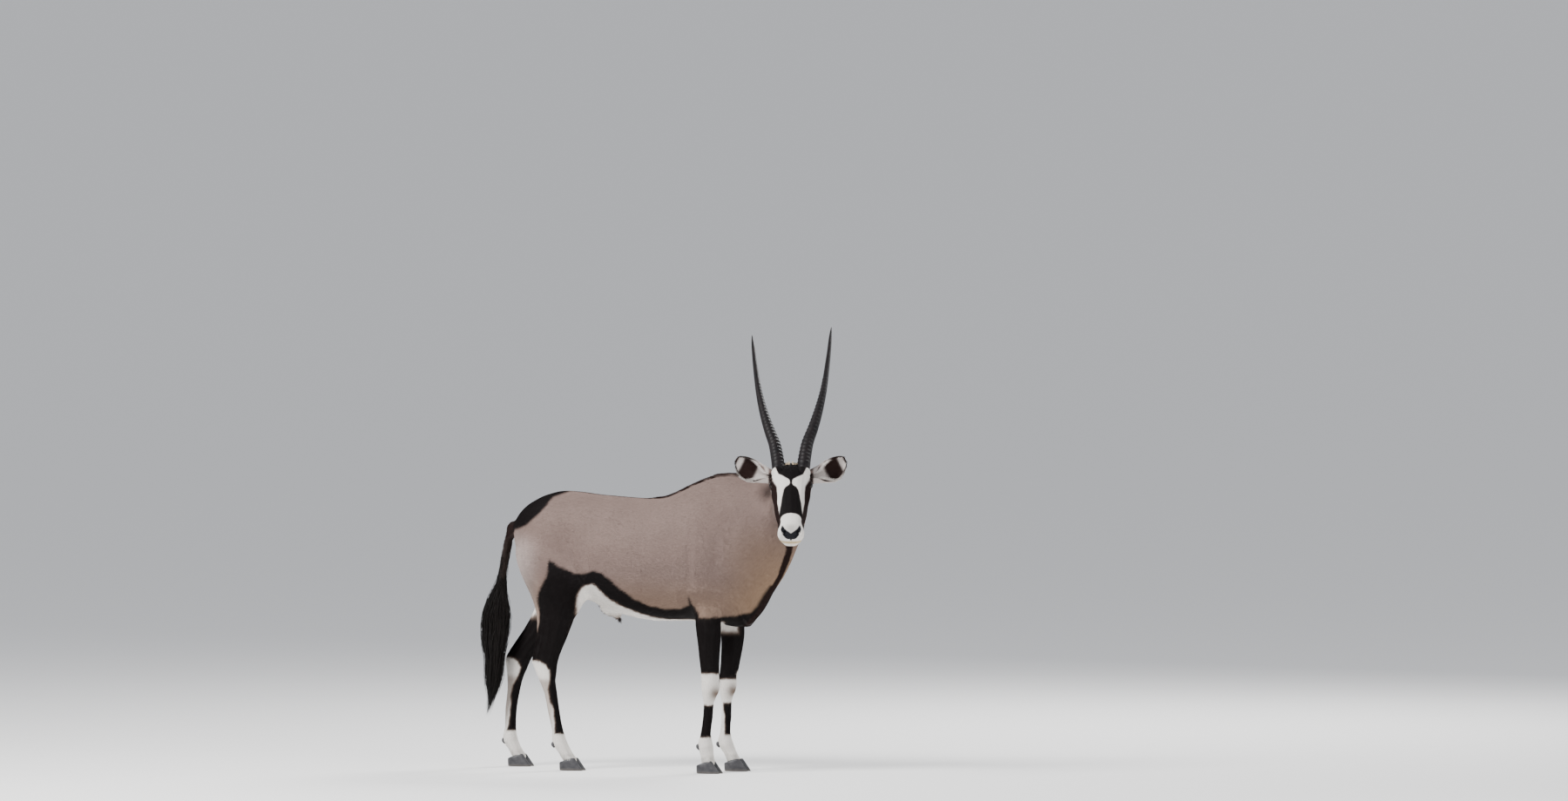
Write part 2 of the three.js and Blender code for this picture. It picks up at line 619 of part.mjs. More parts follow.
// Tail, thighs and forelegs leave the trunk one after another.
// Regions grow by the slack, so that what they leave behind keeps the gap.
function beyond(body, cut, slack) {
  const normal = vector(cut.normal).normalize();
  return part(body, cut.normal, vector(cut.point).addScaledVector(normal, -slack).toArray())[0];
}

const dockRegion = (slack) => beyond(
  box([-800 - slack, -60 - slack, 100], [-560, 60 + slack, 1100]),
  TAIL_CUT,
  slack,
);
const tailDock = dock.intersect(dockRegion(0));
let rest = behind.subtract(dockRegion(GAP / 2));
const dockEnd = part(tailDock, [0, 0, 1], [0, 0, TUFT_TOP])[0];
addPart('tail_dock', dockEnd, COLOURS.dark);
addPart('tail_tuft', part(tuftForm(), [0, 0, -1], [0, 0, TUFT_TOP])[0], COLOURS.tail);

const STIFLE_HEIGHT = 600;      // below it the whole leg stands clear of the belly
const hindRegion = (side, slack) => {
  const sides = [GAP / 2 - slack, 300].map((value) => side * value).sort((a, b) => a - b);
  const thigh = box([-900, sides[0], STIFLE_HEIGHT - 10], [-150, sides[1], 1000]);
  const shank = box([-900, sides[0], -10], [-150, sides[1], STIFLE_HEIGHT]);
  return beyond(beyond(thigh, THIGH_CUT, slack), GROIN_CUT, slack).add(shank);
};
const foreRegion = (side, slack) => {
  const geometry = new THREE.CylinderGeometry(1, 1, 1, 20);
  geometry.rotateX(Math.PI / 2);
  geometry.scale(74 + slack, 64 + slack, 640 + 2 * slack);
  geometry.translate(286, side * 117, 306);
  return solid(geometry);
};

for (const { name, side, sideName, toe, fetlock, lean } of feet) {
  const hind = name === 'hindleg';
  const region = hind ? hindRegion : foreRegion;
  const [coronetFront, coronetBack] = (hind ? hindOutline : foreOutline).at(-1);
  const coronet = {
    normal: [coronetBack[1] - coronetFront[1], 0, coronetFront[0] - coronetBack[0]],
    point: [coronetFront[0] + leanAt(lean, HOOF_FRONT), 0, HOOF_FRONT + 1],
  };
  let [leg] = part(rest.intersect(region(side, 0)), coronet.normal, coronet.point);
  rest = rest.subtract(region(side, GAP));
  [1, -1].forEach((half) => {
    const digit = half * side > 0 ? 'outer' : 'inner';
    const middle = side * LEG_SPREAD + half * CLAW_OFFSET;
    const place = [fetlock[0], side * LEG_SPREAD + half * 15, fetlock[1]];
    const claw = part(clawForm(toe, middle, half), coronet.normal, coronet.point)[1];
    addPart(`hoof_${name}_${sideName}_${digit}`, claw, COLOURS.hoof, 0.5);
    const dewclaw = (grow) => {
      const geometry = new THREE.SphereGeometry(1, 7, 5);
      geometry.scale(9 + grow, 8 + grow, 13 + grow);
      geometry.rotateY(degrees(-24));
      geometry.translate(...place);
      return solid(geometry);
    };
    addPart(`dewclaw_${name}_${sideName}_${digit}`, dewclaw(0), COLOURS.hoof, 0.5);
    leg = leg.subtract(dewclaw(GAP));
  });
  const bend = hind ? [0, 0, 470 + (side > 0 ? 20 : 0)] : [0, 0, 392];
  const [upper, lower] = part(leg, [0, 0, 1], bend);
  addPart(`${name}_${sideName}_upper`, upper, COLOURS.dark);
  addPart(`${name}_${sideName}_lower`, lower, COLOURS.white);
}
addPart('torso', rest, COLOURS.fawn);

// The origin lies on the ground under the middle of the whole model.
const bounds = new THREE.Box3().setFromObject(group);
const centre = bounds.getCenter(new THREE.Vector3());
group.position.set(-centre.x, -centre.y, 0);

export default group;
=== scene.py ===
import math

import bmesh
import bpy
import numpy as np
from mathutils import Matrix, Vector
from mathutils.bvhtree import BVHTree


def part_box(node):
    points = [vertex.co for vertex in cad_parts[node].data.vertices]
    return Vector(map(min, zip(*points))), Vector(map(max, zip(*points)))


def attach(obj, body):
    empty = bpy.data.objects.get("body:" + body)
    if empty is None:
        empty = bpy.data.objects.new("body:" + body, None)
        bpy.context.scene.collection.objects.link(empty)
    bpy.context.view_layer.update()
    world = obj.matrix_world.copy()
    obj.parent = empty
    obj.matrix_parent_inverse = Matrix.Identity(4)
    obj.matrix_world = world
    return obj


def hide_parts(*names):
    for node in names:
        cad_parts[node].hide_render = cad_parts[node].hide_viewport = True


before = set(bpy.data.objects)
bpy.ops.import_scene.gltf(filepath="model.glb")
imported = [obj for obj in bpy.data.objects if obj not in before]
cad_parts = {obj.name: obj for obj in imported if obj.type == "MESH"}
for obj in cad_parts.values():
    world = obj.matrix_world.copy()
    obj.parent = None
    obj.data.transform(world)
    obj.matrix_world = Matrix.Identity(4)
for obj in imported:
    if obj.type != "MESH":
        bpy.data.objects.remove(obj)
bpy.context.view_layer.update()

# The frame of the animal. The model is drawn in millimetres with +X to its front, +Y to its
# left and the floor at 0. The head has a frame of its own: x down the face, y to its left,
# z out of the brow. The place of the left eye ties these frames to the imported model.
HEAD_YAW, HEAD_PITCH = math.radians(68), math.radians(44)
POLL = np.array([653.0, -138.0, 1311.0])
face_line = np.array([
    math.cos(HEAD_PITCH) * math.cos(HEAD_YAW),
    -math.cos(HEAD_PITCH) * math.sin(HEAD_YAW),
    -math.sin(HEAD_PITCH),
])
head_left = np.array([math.sin(HEAD_YAW), math.cos(HEAD_YAW), 0.0])
head_up = np.cross(face_line, head_left)
HEAD_AXES = np.array([face_line, head_left, head_up])
EYE_PLACE = np.array([150.0, 66.0, -48.0])
EYE_RADIUS = 20.0
eye_low, eye_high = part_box("eye_left")
shift = np.array((eye_low + eye_high) / 2) * 1000 - (POLL + EYE_PLACE @ HEAD_AXES)


def to_frame(points):
    return (np.asarray(points, float) + shift) / 1000


def from_frame(points):
    return np.asarray(points, float) * 1000 - shift


def in_head(points):
    return (np.asarray(points, float) - POLL) @ HEAD_AXES.T


def out_of_head(points):
    return POLL + np.asarray(points, float) @ HEAD_AXES


def unit(vectors):
    return vectors / np.maximum(np.linalg.norm(vectors, axis=-1, keepdims=True), 1e-6)


def fold(points):
    """The same points with all of them on the left side."""
    return points * np.where(points[:, 1:2] < 0, [[1, -1, 1]], [[1, 1, 1]])


def blend(first, second, share):
    return first + (second - first) * share


def fade(value, start, end):
    """0 before start and 1 after end, with a smooth change between them."""
    share = np.clip((np.asarray(value, float) - start) / (end - start), 0, 1)
    return share * share * (3 - 2 * share)


# The camera stands 80 m away at the photograph's angle: 22 degrees round from the animal's
# right side towards its front, and 2.2 degrees above level.
CAMERA_TURN, CAMERA_RISE = math.radians(22), math.radians(2.2)
CAMERA_DISTANCE = 80.0
AIM = (487.6, 197.0, 1494.0)
toward_camera = Vector((
    math.sin(CAMERA_TURN) * math.cos(CAMERA_RISE),
    -math.cos(CAMERA_TURN) * math.cos(CAMERA_RISE),
    math.sin(CAMERA_RISE),
))
camera = bpy.data.objects.new("camera", bpy.data.cameras.new("camera"))
bpy.context.scene.collection.objects.link(camera)
bpy.context.scene.camera = camera
camera.data.lens = 456
camera.data.sensor_width = 36
camera.data.clip_end = 600
camera.location = Vector(to_frame(AIM)) + toward_camera * CAMERA_DISTANCE
camera.rotation_euler = (-toward_camera).to_track_quat("-Z", "Y").to_euler()

# The skin is one mesh from the muzzle to the dock and down to the hooves, with no seam. It
# is made from copies of all flesh solids, fused, smoothed and drawn in by the coat's depth.
VOXEL = 0.0021
COARSE_VOXEL = 0.006
FUSE = 0.0004
FORM_POLISH, SKIN_POLISH = 34, 14
COAT_DEPTH = {"body": 5.5, "limb": 2.4, "head": 1.6, "ear": 0.9, "dock": 2.5}
FLESH = ("torso", "neck", "head", "ear", "tail_dock", "foreleg", "hindleg")
SKIN_TRIANGLES = 186000
flesh_nodes = sorted(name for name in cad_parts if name.startswith(FLESH))


def new_object(name, data):
    made = bpy.data.objects.new(name, data)
    bpy.context.scene.collection.objects.link(made)
    return made


def read_points(mesh, field="co", owner=None):
    owner = owner or mesh.vertices
    values = np.empty(len(owner) * 3, np.float32)
    owner.foreach_get(field, values)
    return values.reshape(-1, 3).astype(float)


def apply_modifiers(target):
    depsgraph = bpy.context.evaluated_depsgraph_get()
    finished = bpy.data.meshes.new_from_object(target.evaluated_get(depsgraph))
    target.modifiers.clear()
    spent = target.data
    target.data = finished
    bpy.data.meshes.remove(spent)


def paint_group(target, name, weights):
    """A vertex group whose weights, in steps of a twentieth, are the given ones."""
    group = target.vertex_groups.new(name=name)
    steps = np.round(np.clip(weights, 0, 1) * 20).astype(int)
    for step in range(1, 21):
        members = np.flatnonzero(steps == step)
        if len(members):
            group.add(members.tolist(), step / 20, "REPLACE")
    return group


flesh = bmesh.new()
for name in flesh_nodes:
    piece = bmesh.new()
    piece.from_mesh(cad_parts[name].data)
    bmesh.ops.remove_doubles(piece, verts=piece.verts, dist=1e-5)
    piece.normal_update()
    for corner in piece.verts:
        corner.co += corner.normal * FUSE
    scrap = bpy.data.meshes.new("scrap")
    piece.to_mesh(scrap)
    flesh.from_mesh(scrap)
    piece.free()
    bpy.data.meshes.remove(scrap)
skin = new_object("hide", bpy.data.meshes.new("hide"))
flesh.to_mesh(skin.data)
flesh.free()
form = new_object("form", skin.data.copy())


def fuse(target, size):
    remesh = target.modifiers.new("fuse", "REMESH")
    remesh.mode = "VOXEL"
    remesh.voxel_size = size
    apply_modifiers(target)


def smooth(target, group, times):
    polish = target.modifiers.new(group, "SMOOTH")
    polish.vertex_group = group
    polish.iterations = times
    polish.factor = 0.8


def head_share(points):
    """1 on the head and 0 behind the plane of the nape and throat."""
    local = in_head(points)
    ours = (np.abs(local[:, 1]) < 100) | (local[:, 2] > -150)
    return ours * fade(0.77 * local[:, 0] + 0.64 * local[:, 2], -46, -22) * fade(points[:, 2], 880, 930)


EAR_AIM = unit(np.array([-0.467, 0.87, 0.153]))
EAR_FRONT = np.array([0.72, 0.12, 0.69])
EAR_FRONT = unit(EAR_FRONT - EAR_AIM * (EAR_FRONT @ EAR_AIM))
EAR_DOWN = np.cross(EAR_AIM, EAR_FRONT)
EAR_ROOT = np.array([74.0, 62.0, -96.0])
EAR_LENGTH = 184.0
EAR_CUP = (  # share of the length, half width, depth, opening angle, drop
    (0, 28, 24, 172, 0), (0.14, 31, 25, 170, 0), (0.27, 36, 27, 158, 5), (0.4, 43, 29, 134, 10),
    (0.54, 49, 29, 110, 14), (0.68, 48, 26, 98, 14), (0.8, 42, 20, 90, 10), (0.91, 29, 12, 84, 4),
    (0.98, 14, 5, 80, 0), (1, 6, 2.5, 78, -1),
)


def cup_at(along):
    keys = np.array(EAR_CUP, float).T
    return (np.interp(along, keys[0], track) for track in keys[1:])


def in_ear(local):
    """For points in the head's frame: the share of the ear's length and the places across it,
    from its middle towards its lower edge and out of its opening."""
    away = fold(local) - EAR_ROOT
    along = away @ EAR_AIM / EAR_LENGTH
    half, deep, opening, drop = cup_at(along)
    return along, away @ EAR_DOWN - drop, away @ EAR_FRONT, half, deep, opening


def ear_share(points):
    local = in_head(points)
    along, down, front, half, deep, _ = in_ear(local)
    beside = np.maximum(np.abs(down) - half, np.abs(front + deep / 2) - deep / 2)
    margin = 11 + 16 * fade(-along, -0.4, -0.15)
    return fade(np.abs(local[:, 1]), 84, 96) * fade(margin - beside, -4, 4)


def paint_body(target):
    spots = from_frame(read_points(target.data))
    body = fade(spots[:, 2], 600, 690) * (1 - head_share(spots)) * (1 - ear_share(spots))
    body *= fade(spots[:, 0], -640, -600)
    paint_group(target, "body", body)
    paint_group(target, "thigh", fade(spots[:, 2], 760, 840) * fade(-spots[:, 0], 150, 230) * body)
    light = 1 - head_share(spots) - 0.6 * ear_share(spots)
    paint_group(target, "all", np.clip(light, 0.12, 0.6))


# The broad forms are smoothed on a coarse copy, and the fine skin is laid onto that.
fuse(form, COARSE_VOXEL)
paint_body(form)
smooth(form, "body", FORM_POLISH)
smooth(form, "thigh", FORM_POLISH)
apply_modifiers(form)
fuse(skin, VOXEL)
paint_body(skin)
laid = skin.modifiers.new("laid", "SHRINKWRAP")
laid.target = form
laid.vertex_group = "body"
smooth(skin, "all", SKIN_POLISH)
apply_modifiers(skin)
bpy.data.objects.remove(form)

# Next the forms that the plain solids lack: muscle edges, folds of skin and the thin bones
# of the face. Each is a soft swelling or a soft furrow along a line. The left legs stand
# further back than the right ones, so their forms lean along X with the leg.
HIND_LEAN = ((0, -311), (60, -306), (110, -302), (220, -274), (310, -244), (380, -215),
             (470, -188), (540, -155), (620, -112), (730, -48), (860, 0))
FORE_LEAN = ((0, 38), (60, 22), (110, 4), (225, -3), (365, -14), (450, 2), (560, 10), (820, 0))
SWELLINGS = [
    # place, reach along X Y Z, height; each is on both sides of the body
    ((-250, 110, 1078), (42, 45, 32), 6),      # point of the hip
    ((-548, 60, 1000), (34, 45, 34), 5),       # seat bone
    ((-250, 160, 775), (46, 60, 56), 7),       # stifle
    ((-400, 170, 900), (90, 90, 80), 5),       # thigh
    ((-178, 160, 985), (70, 90, 62), -7),      # hollow of the flank
    ((318, 130, 900), (70, 90, 90), 6),        # shoulder
    ((392, 110, 800), (40, 70, 60), 5),        # point of the shoulder
    ((470, 60, 690), (50, 50, 50), 4),         # breast
    ((-154, 0, 618), (17, 12, 16), 11),        # tip of the sheath
    ((328, 104, 560), (24, 60, 70), 4),        # forearm
    ((322, 104, 345), (14, 30, 30), 3),        # front of the knee
    ((290, 132, 338), (22, 14, 24), 2.5),
    ((290, 78, 338), (22, 14, 24), 2.5),
    ((258, 106, 356), (12, 18, 18), 3.5),      # bone behind the knee
    ((242, 103, 118), (16, 24, 18), 3),        # back of the fetlock
    ((-392, 102, 112), (16, 24, 18), 3),
    ((-484, 98, 434), (12, 20, 26), 4),        # point of the hock
    ((-395, 120, 395), (22, 12, 24), 3),
    ((-395, 78, 395), (22, 12, 24), 3),
]
FURROWS = [
    # a line of points, its reach to each side, its depth; on both sides
    (((262, 160, 980), (262, 180, 850), (256, 185, 770), (226, 150, 690), (232, 140, 640)), 24, 7.0),
    (((-205, 170, 880), (-205, 175, 830), (-228, 165, 775)), 24, 6.0),
    (((-478, 130, 960), (-462, 160, 860), (-452, 150, 760), (-440, 140, 660)), 18, 5.0),
    (((400, 120, 1080), (375, 150, 960), (370, 150, 860), (360, 150, 760)), 26, 5.0),
    (((560, 70, 1060), (520, 90, 940), (470, 110, 820)), 20, 4.5),
    (((310, 155, 600), (306, 150, 520), (300, 145, 430)), 8, 3.5),
    (((281, 128, 290), (277, 128, 220), (270, 126, 160)), 5, 3.0),
    (((281, 80, 290), (277, 80, 220), (270, 80, 160)), 5, 3.0),
    (((-440, 140, 560), (-452, 132, 510), (-458, 124, 455)), 11, 7.0),
    (((-440, 70, 560), (-452, 70, 510), (-458, 72, 455)), 11, 6.0),
    (((-424, 120, 350), (-408, 120, 260), (-388, 120, 165)), 5, 3.0),
    (((-424, 76, 350), (-408, 76, 260), (-388, 78, 165)), 5, 3.0),
]
FACE_FORMS = [
    # place in the head's frame, reach, height
    ((146, 66, -24), (30, 20, 9), 3.5),        # brow over the eye
    ((200, 62, -74), (34, 22, 16), 4.5),       # cheek bone
    ((280, 56, -76), (60, 22, 16), 5),
    ((232, 52, -44), (36, 22, 12), -3),        # hollow before the eye
    ((122, 72, -132), (44, 30, 36), 6),        # jaw muscle
    ((250, 55, -112), (40, 25, 16), -3.5),     # hollow of the cheek
    ((205, 60, -150), (60, 30, 12), 3),        # edge of the jaw
    ((300, 0, -4), (110, 15, 14), 2),          # ridge of the nose
    ((404, 45, -40), (20, 12, 16), 3),         # wing of the nostril
    ((402, 38, -66), (26, 22, 9), 3),          # upper lip
    ((404, 0, -124), (34, 26, 14), -7),        # lower lip
    ((405, 38, -108), (32, 16, 18), -7),
]
FACE_FURROWS = [
    # a line in the head's frame, reach, depth
    (((411, 34, -27), (421, 30, -36), (427, 25, -45), (431, 20, -50)), 4.2, 7.0),     # nostril
    (((434, 0, -46), (436, 0, -58), (434, 0, -74), (430, 0, -84)), 2.6, 2.5),         # cleft of the lip
    (((376, 52, -44), (352, 54, -60), (340, 54, -76)), 7, 2.0),
]
MOUTH_LINE = ((322, -84), (345, -92), (385, -93), (415, -88), (445, -83))
NOSTRIL = FACE_FURROWS[0][0]


def along_line(points, line):
    """Distance of each point to a line of points, and the share of its length reached."""
    line = np.asarray(line, float)
    lengths = np.linalg.norm(np.diff(line, axis=0), axis=1)
    reached = np.concatenate([[0], np.cumsum(lengths)])
    best = np.full(len(points), 1e9)
    share = np.zeros(len(points))
    for i, length in enumerate(lengths):
        step = line[i + 1] - line[i]
        t = np.clip((points - line[i]) @ step / length ** 2, 0, 1)
        away = np.linalg.norm(points - line[i] - t[:, None] * step, axis=1)
        nearer = away < best
        best[nearer] = away[nearer]
        share[nearer] = ((reached[i] + t * length) / reached[-1])[nearer]
    return best, share


def from_horn(local):
    """Distance to the side from the middle of the nearer horn's root."""
    return np.hypot(np.abs(local[:, 1]) - 49, local[:, 2] + 28)


def write_points(mesh, points):
    mesh.vertices.foreach_set("co", np.asarray(points, np.float32).ravel())
    mesh.update()


spots = from_frame(read_points(skin.data))
outward = read_points(skin.data, "vector", skin.data.vertex_normals)
left_side = spots[:, 1] > 0
leaning = np.where(spots[:, 0] < -60, np.interp(spots[:, 2], *zip(*HIND_LEAN)),
                   np.interp(spots[:, 2], *zip(*FORE_LEAN)) * (spots[:, 0] > 100))
folded = fold(spots) - np.outer(leaning * left_side, [1, 0, 0])
body_rise, face_rise = np.zeros(len(spots)), np.zeros(len(spots))
for place, reach, height in SWELLINGS:
    body_rise += height * np.exp(-(((folded - place) / reach) ** 2).sum(1))
for line, reach, depth in FURROWS:
    away, share = along_line(folded, line)
    body_rise -= depth * np.exp(-(away / reach) ** 2) * np.sin(np.pi * (0.12 + 0.76 * share))
local = in_head(spots)
face_folded = fold(local)
for place, reach, height in FACE_FORMS:
    face_rise += height * np.exp(-(((face_folded - place) / reach) ** 2).sum(1))
for line, reach, depth in FACE_FURROWS:
    away, share = along_line(face_folded, line)
    face_rise -= depth * np.exp(-(away / reach) ** 2)
away, share = along_line(local * [1, 0, 1], [(x, 0, z) for x, z in MOUTH_LINE])
face_rise -= 4.5 * np.exp(-(away / 2.2) ** 2) * fade(local[:, 0], 320, 334)
on_head, on_ear = head_share(spots), ear_share(spots)
rise = body_rise * (1 - on_head) + face_rise * on_head * (1 - on_ear)
on_limb = fade(-spots[:, 2], -640, -560)
coat_depth = blend(COAT_DEPTH["body"], COAT_DEPTH["limb"], on_limb)
coat_depth = blend(blend(coat_depth, COAT_DEPTH["head"], on_head), COAT_DEPTH["ear"], on_ear)
coat_depth *= 1 - fade(-from_horn(local), -48, -42) * fade(-local[:, 0], -116, -106) * on_head
coat_depth = blend(coat_depth, COAT_DEPTH["dock"], fade(-spots[:, 0], 600, 615))
spots = spots + outward * (rise - coat_depth)[:, None]
coronet = fade(-spots[:, 2], -78, -50) * fade(outward[:, 0], 0.0, 0.8) * (1 - on_head)
spots[:, 0] -= 8 * coronet
write_points(skin.data, to_frame(spots))

# The gemsbok's markings: black, white, brown, buff and bare places, as soft outlines in
# side view for the body and legs and round the head's own axis for the face.
FLANK_BAND = (
    (-379, 853), (-354, 839), (-314, 818), (-279, 800), (-244, 797), (-192, 810), (-147, 805),
    (-117, 782), (-69, 744), (-14, 703), (41, 674), (102, 660), (171, 664), (212, 678),
    (222, 716), (232, 676), (262, 646), (262, 600), (123, 612), (49, 622), (-13, 640),
    (-69, 664), (-122, 694), (-161, 726), (-179, 747), (-202, 758), (-232, 751), (-251, 738),
    (-266, 711), (-276, 670), (-292, 621), (-307, 585), (-319, 561), (-335, 520), (-345, 440),
    (-480, 440), (-500, 520), (-455, 560), (-440, 600), (-434, 640), (-438, 680), (-430, 715),
    (-419, 735), (-389, 778), (-380, 815),
)
CROUP_PATCH = (
    (-338, 1200), (-348, 1124), (-403, 1099), (-416, 1068), (-443, 1036), (-474, 1010),
    (-500, 989), (-535, 975), (-573, 968), (-640, 920), (-700, 1200),
)
BRISKET_BAND = (
    (520, 760), (492, 719), (469, 677), (447, 651), (400, 640), (370, 635), (335, 631), (300, 628),
    (300, 540), (560, 540), (560, 760),
)
THIGH_FRONT = (
    (-190, 763), (-202, 758), (-232, 751), (-251, 738), (-266, 711), (-276, 670), (-292, 621),
    (-307, 585), (-319, 561), (-335, 520), (-190, 520),
)
HIND_REAR_PALE = (
    (-520, 452), (-473, 443), (-440, 440), (-418, 428), (-402, 404), (-402, 368), (-409, 329),
    (-405, 290), (-391, 251), (-384, 211), (-381, 172), (-381, 140), (-520, 140),
)
THROAT_LINE = (
    (425, 0, 606), (497, 0, 700), (556, -3, 785), (603, -25, 890), (630, -55, 985),
    (641, -85, 1068), (655, -126, 1120), (668, -180, 1112), (700, -260, 1050),
)
BACK_LINE = (
    (-606, 0, 960), (-597, 0, 998), (-540, 0, 1063), (-480, 0, 1094), (-420, 0, 1114),
    (-360, 0, 1121), (-240, 0, 1111), (-60, 0, 1099), (60, 0, 1102), (123, 0, 1126),
    (185, 0, 1155), (240, 0, 1176), (300, 0, 1193), (360, 0, 1196), (419, 0, 1189),
    (481, 2, 1184), (515, -13, 1184), (543, -19, 1188), (561, -28, 1194), (579, -38, 1201),
    (600, -70, 1228), (622, -108, 1253), (640, -124, 1257),
)
BLAZE = (
    (182, 4), (192, 9), (202, 22), (215, 29), (240, 34), (285, 40), (330, 46), (352, 52),
    (372, 48), (352, 38), (346, 30), (342, 14), (340, -30), (182, -30),
)
CROWN = ((30, 74), (92, 63), (110, 57), (125, 49), (137, 38), (147, 27), (158, 12), (166, 6), (184, 4),
         (184, -30), (30, -30))
EYE_STRIPE = (
    (66, 62), (110, 57), (150, 53), (187, 48), (217, 53), (261, 59), (313, 56), (350, 52),
    (372, 50), (397, 58), (392, 84), (374, 103), (335, 116), (292, 122), (272, 180),
    (240, 180), (240, 128), (215, 112), (180, 104), (150, 100), (100, 104), (66, 100),
)
WHITE_FACE = (
    (88, 20), (88, 66), (180, 70), (300, 80), (378, 100), (300, 118), (250, 124), (222, 180),
    (520, 180), (520, -30), (120, -30),
)
NOSE_PAD = (
    (-9, -74), (3, -74), (5, -66), (11, -66), (17, -64), (24, -58), (31, -47), (37, -35),
    (39, -25), (36, -21), (28, -24), (18, -27), (8, -32), (0, -37), (-9, -37),
)
SECTION_MIDDLE = ((0, -115), (32, -116), (62, -112), (96, -108), (140, -80), (190, -72),
                  (245, -64), (300, -59), (350, -60), (388, -63), (434, -72))


def inside(points, outline, soft):
    """1 inside a closed outline and 0 outside it, fading over a width at its edge."""
    corners = np.asarray(outline, float)
    crossings = np.zeros(len(points), bool)
    nearest = np.full(len(points), 1e9)
    for start, end in zip(corners, np.roll(corners, -1, axis=0)):
        step = end - start
        t = np.clip((points - start) @ step / (step @ step), 0, 1)
        nearest = np.minimum(nearest, np.hypot(*(points - start - t[:, None] * step).T))
        spans = (start[1] > points[:, 1]) != (end[1] > points[:, 1])
        rise = end[1] - start[1] if end[1] != start[1] else 1e-9
        crossings ^= spans & (points[:, 0] < start[0] + (points[:, 1] - start[1]) * step[0] / rise)
    return fade(np.where(crossings, nearest, -nearest), -soft, soft)


def ripple(points, size):
    """A smooth uneven value from -1 to 1, with waves of about the given size."""
    waves = ((1.0, 0.3, 0.2, 0.0), (-0.4, 1.1, 0.5, 1.7), (0.3, -0.6, 1.2, 4.1), (1.3, 0.9, -0.8, 2.6))
    total = sum(np.sin((points @ np.array(wave[:3])) * 6.3 / size + wave[3]) for wave in waves)
    return total / 4


def lean(heights, side):
    """How far back a hind leg and a foreleg stand at each height, on the left side only."""
    return ((side > 0) * np.interp(heights, *zip(*track)) for track in (HIND_LEAN, FORE_LEAN))


def head_parts(points):
    """Place on the head: length down the face and angle round it, in degrees from the brow."""
    local = in_head(points)
    middle = np.interp(local[:, 0], *zip(*SECTION_MIDDLE))
    angle = np.degrees(np.arctan2(np.abs(local[:, 1]), local[:, 2] - middle))
    return local, angle


def ear_parts(local, facing):
    """For points in the head's frame: how far out along the ear, if inside its cup, how near
    the cup's upper edge, and how near any edge, each from 0 to 1."""
    along, down, front, half, deep, opening = in_ear(local)
    wide = down / np.maximum(half - 2, 3)
    low = -front / np.maximum(deep - 2, 2)
    mirrored = facing * np.where(local[:, 1:2] < 0, [[1, -1, 1]], [[1, 1, 1]])
    radial = wide * (mirrored @ EAR_DOWN) - low * (mirrored @ EAR_FRONT)
    inner = fade(-radial / np.maximum(np.hypot(wide, low), 0.1), -0.25, 0.25) * (along > 0.2)
    turn = np.degrees(np.arctan2(wide, low))
    rim = fade(np.abs(turn), opening - 24, opening - 8)
    return along, inner, rim * (turn < 0), rim


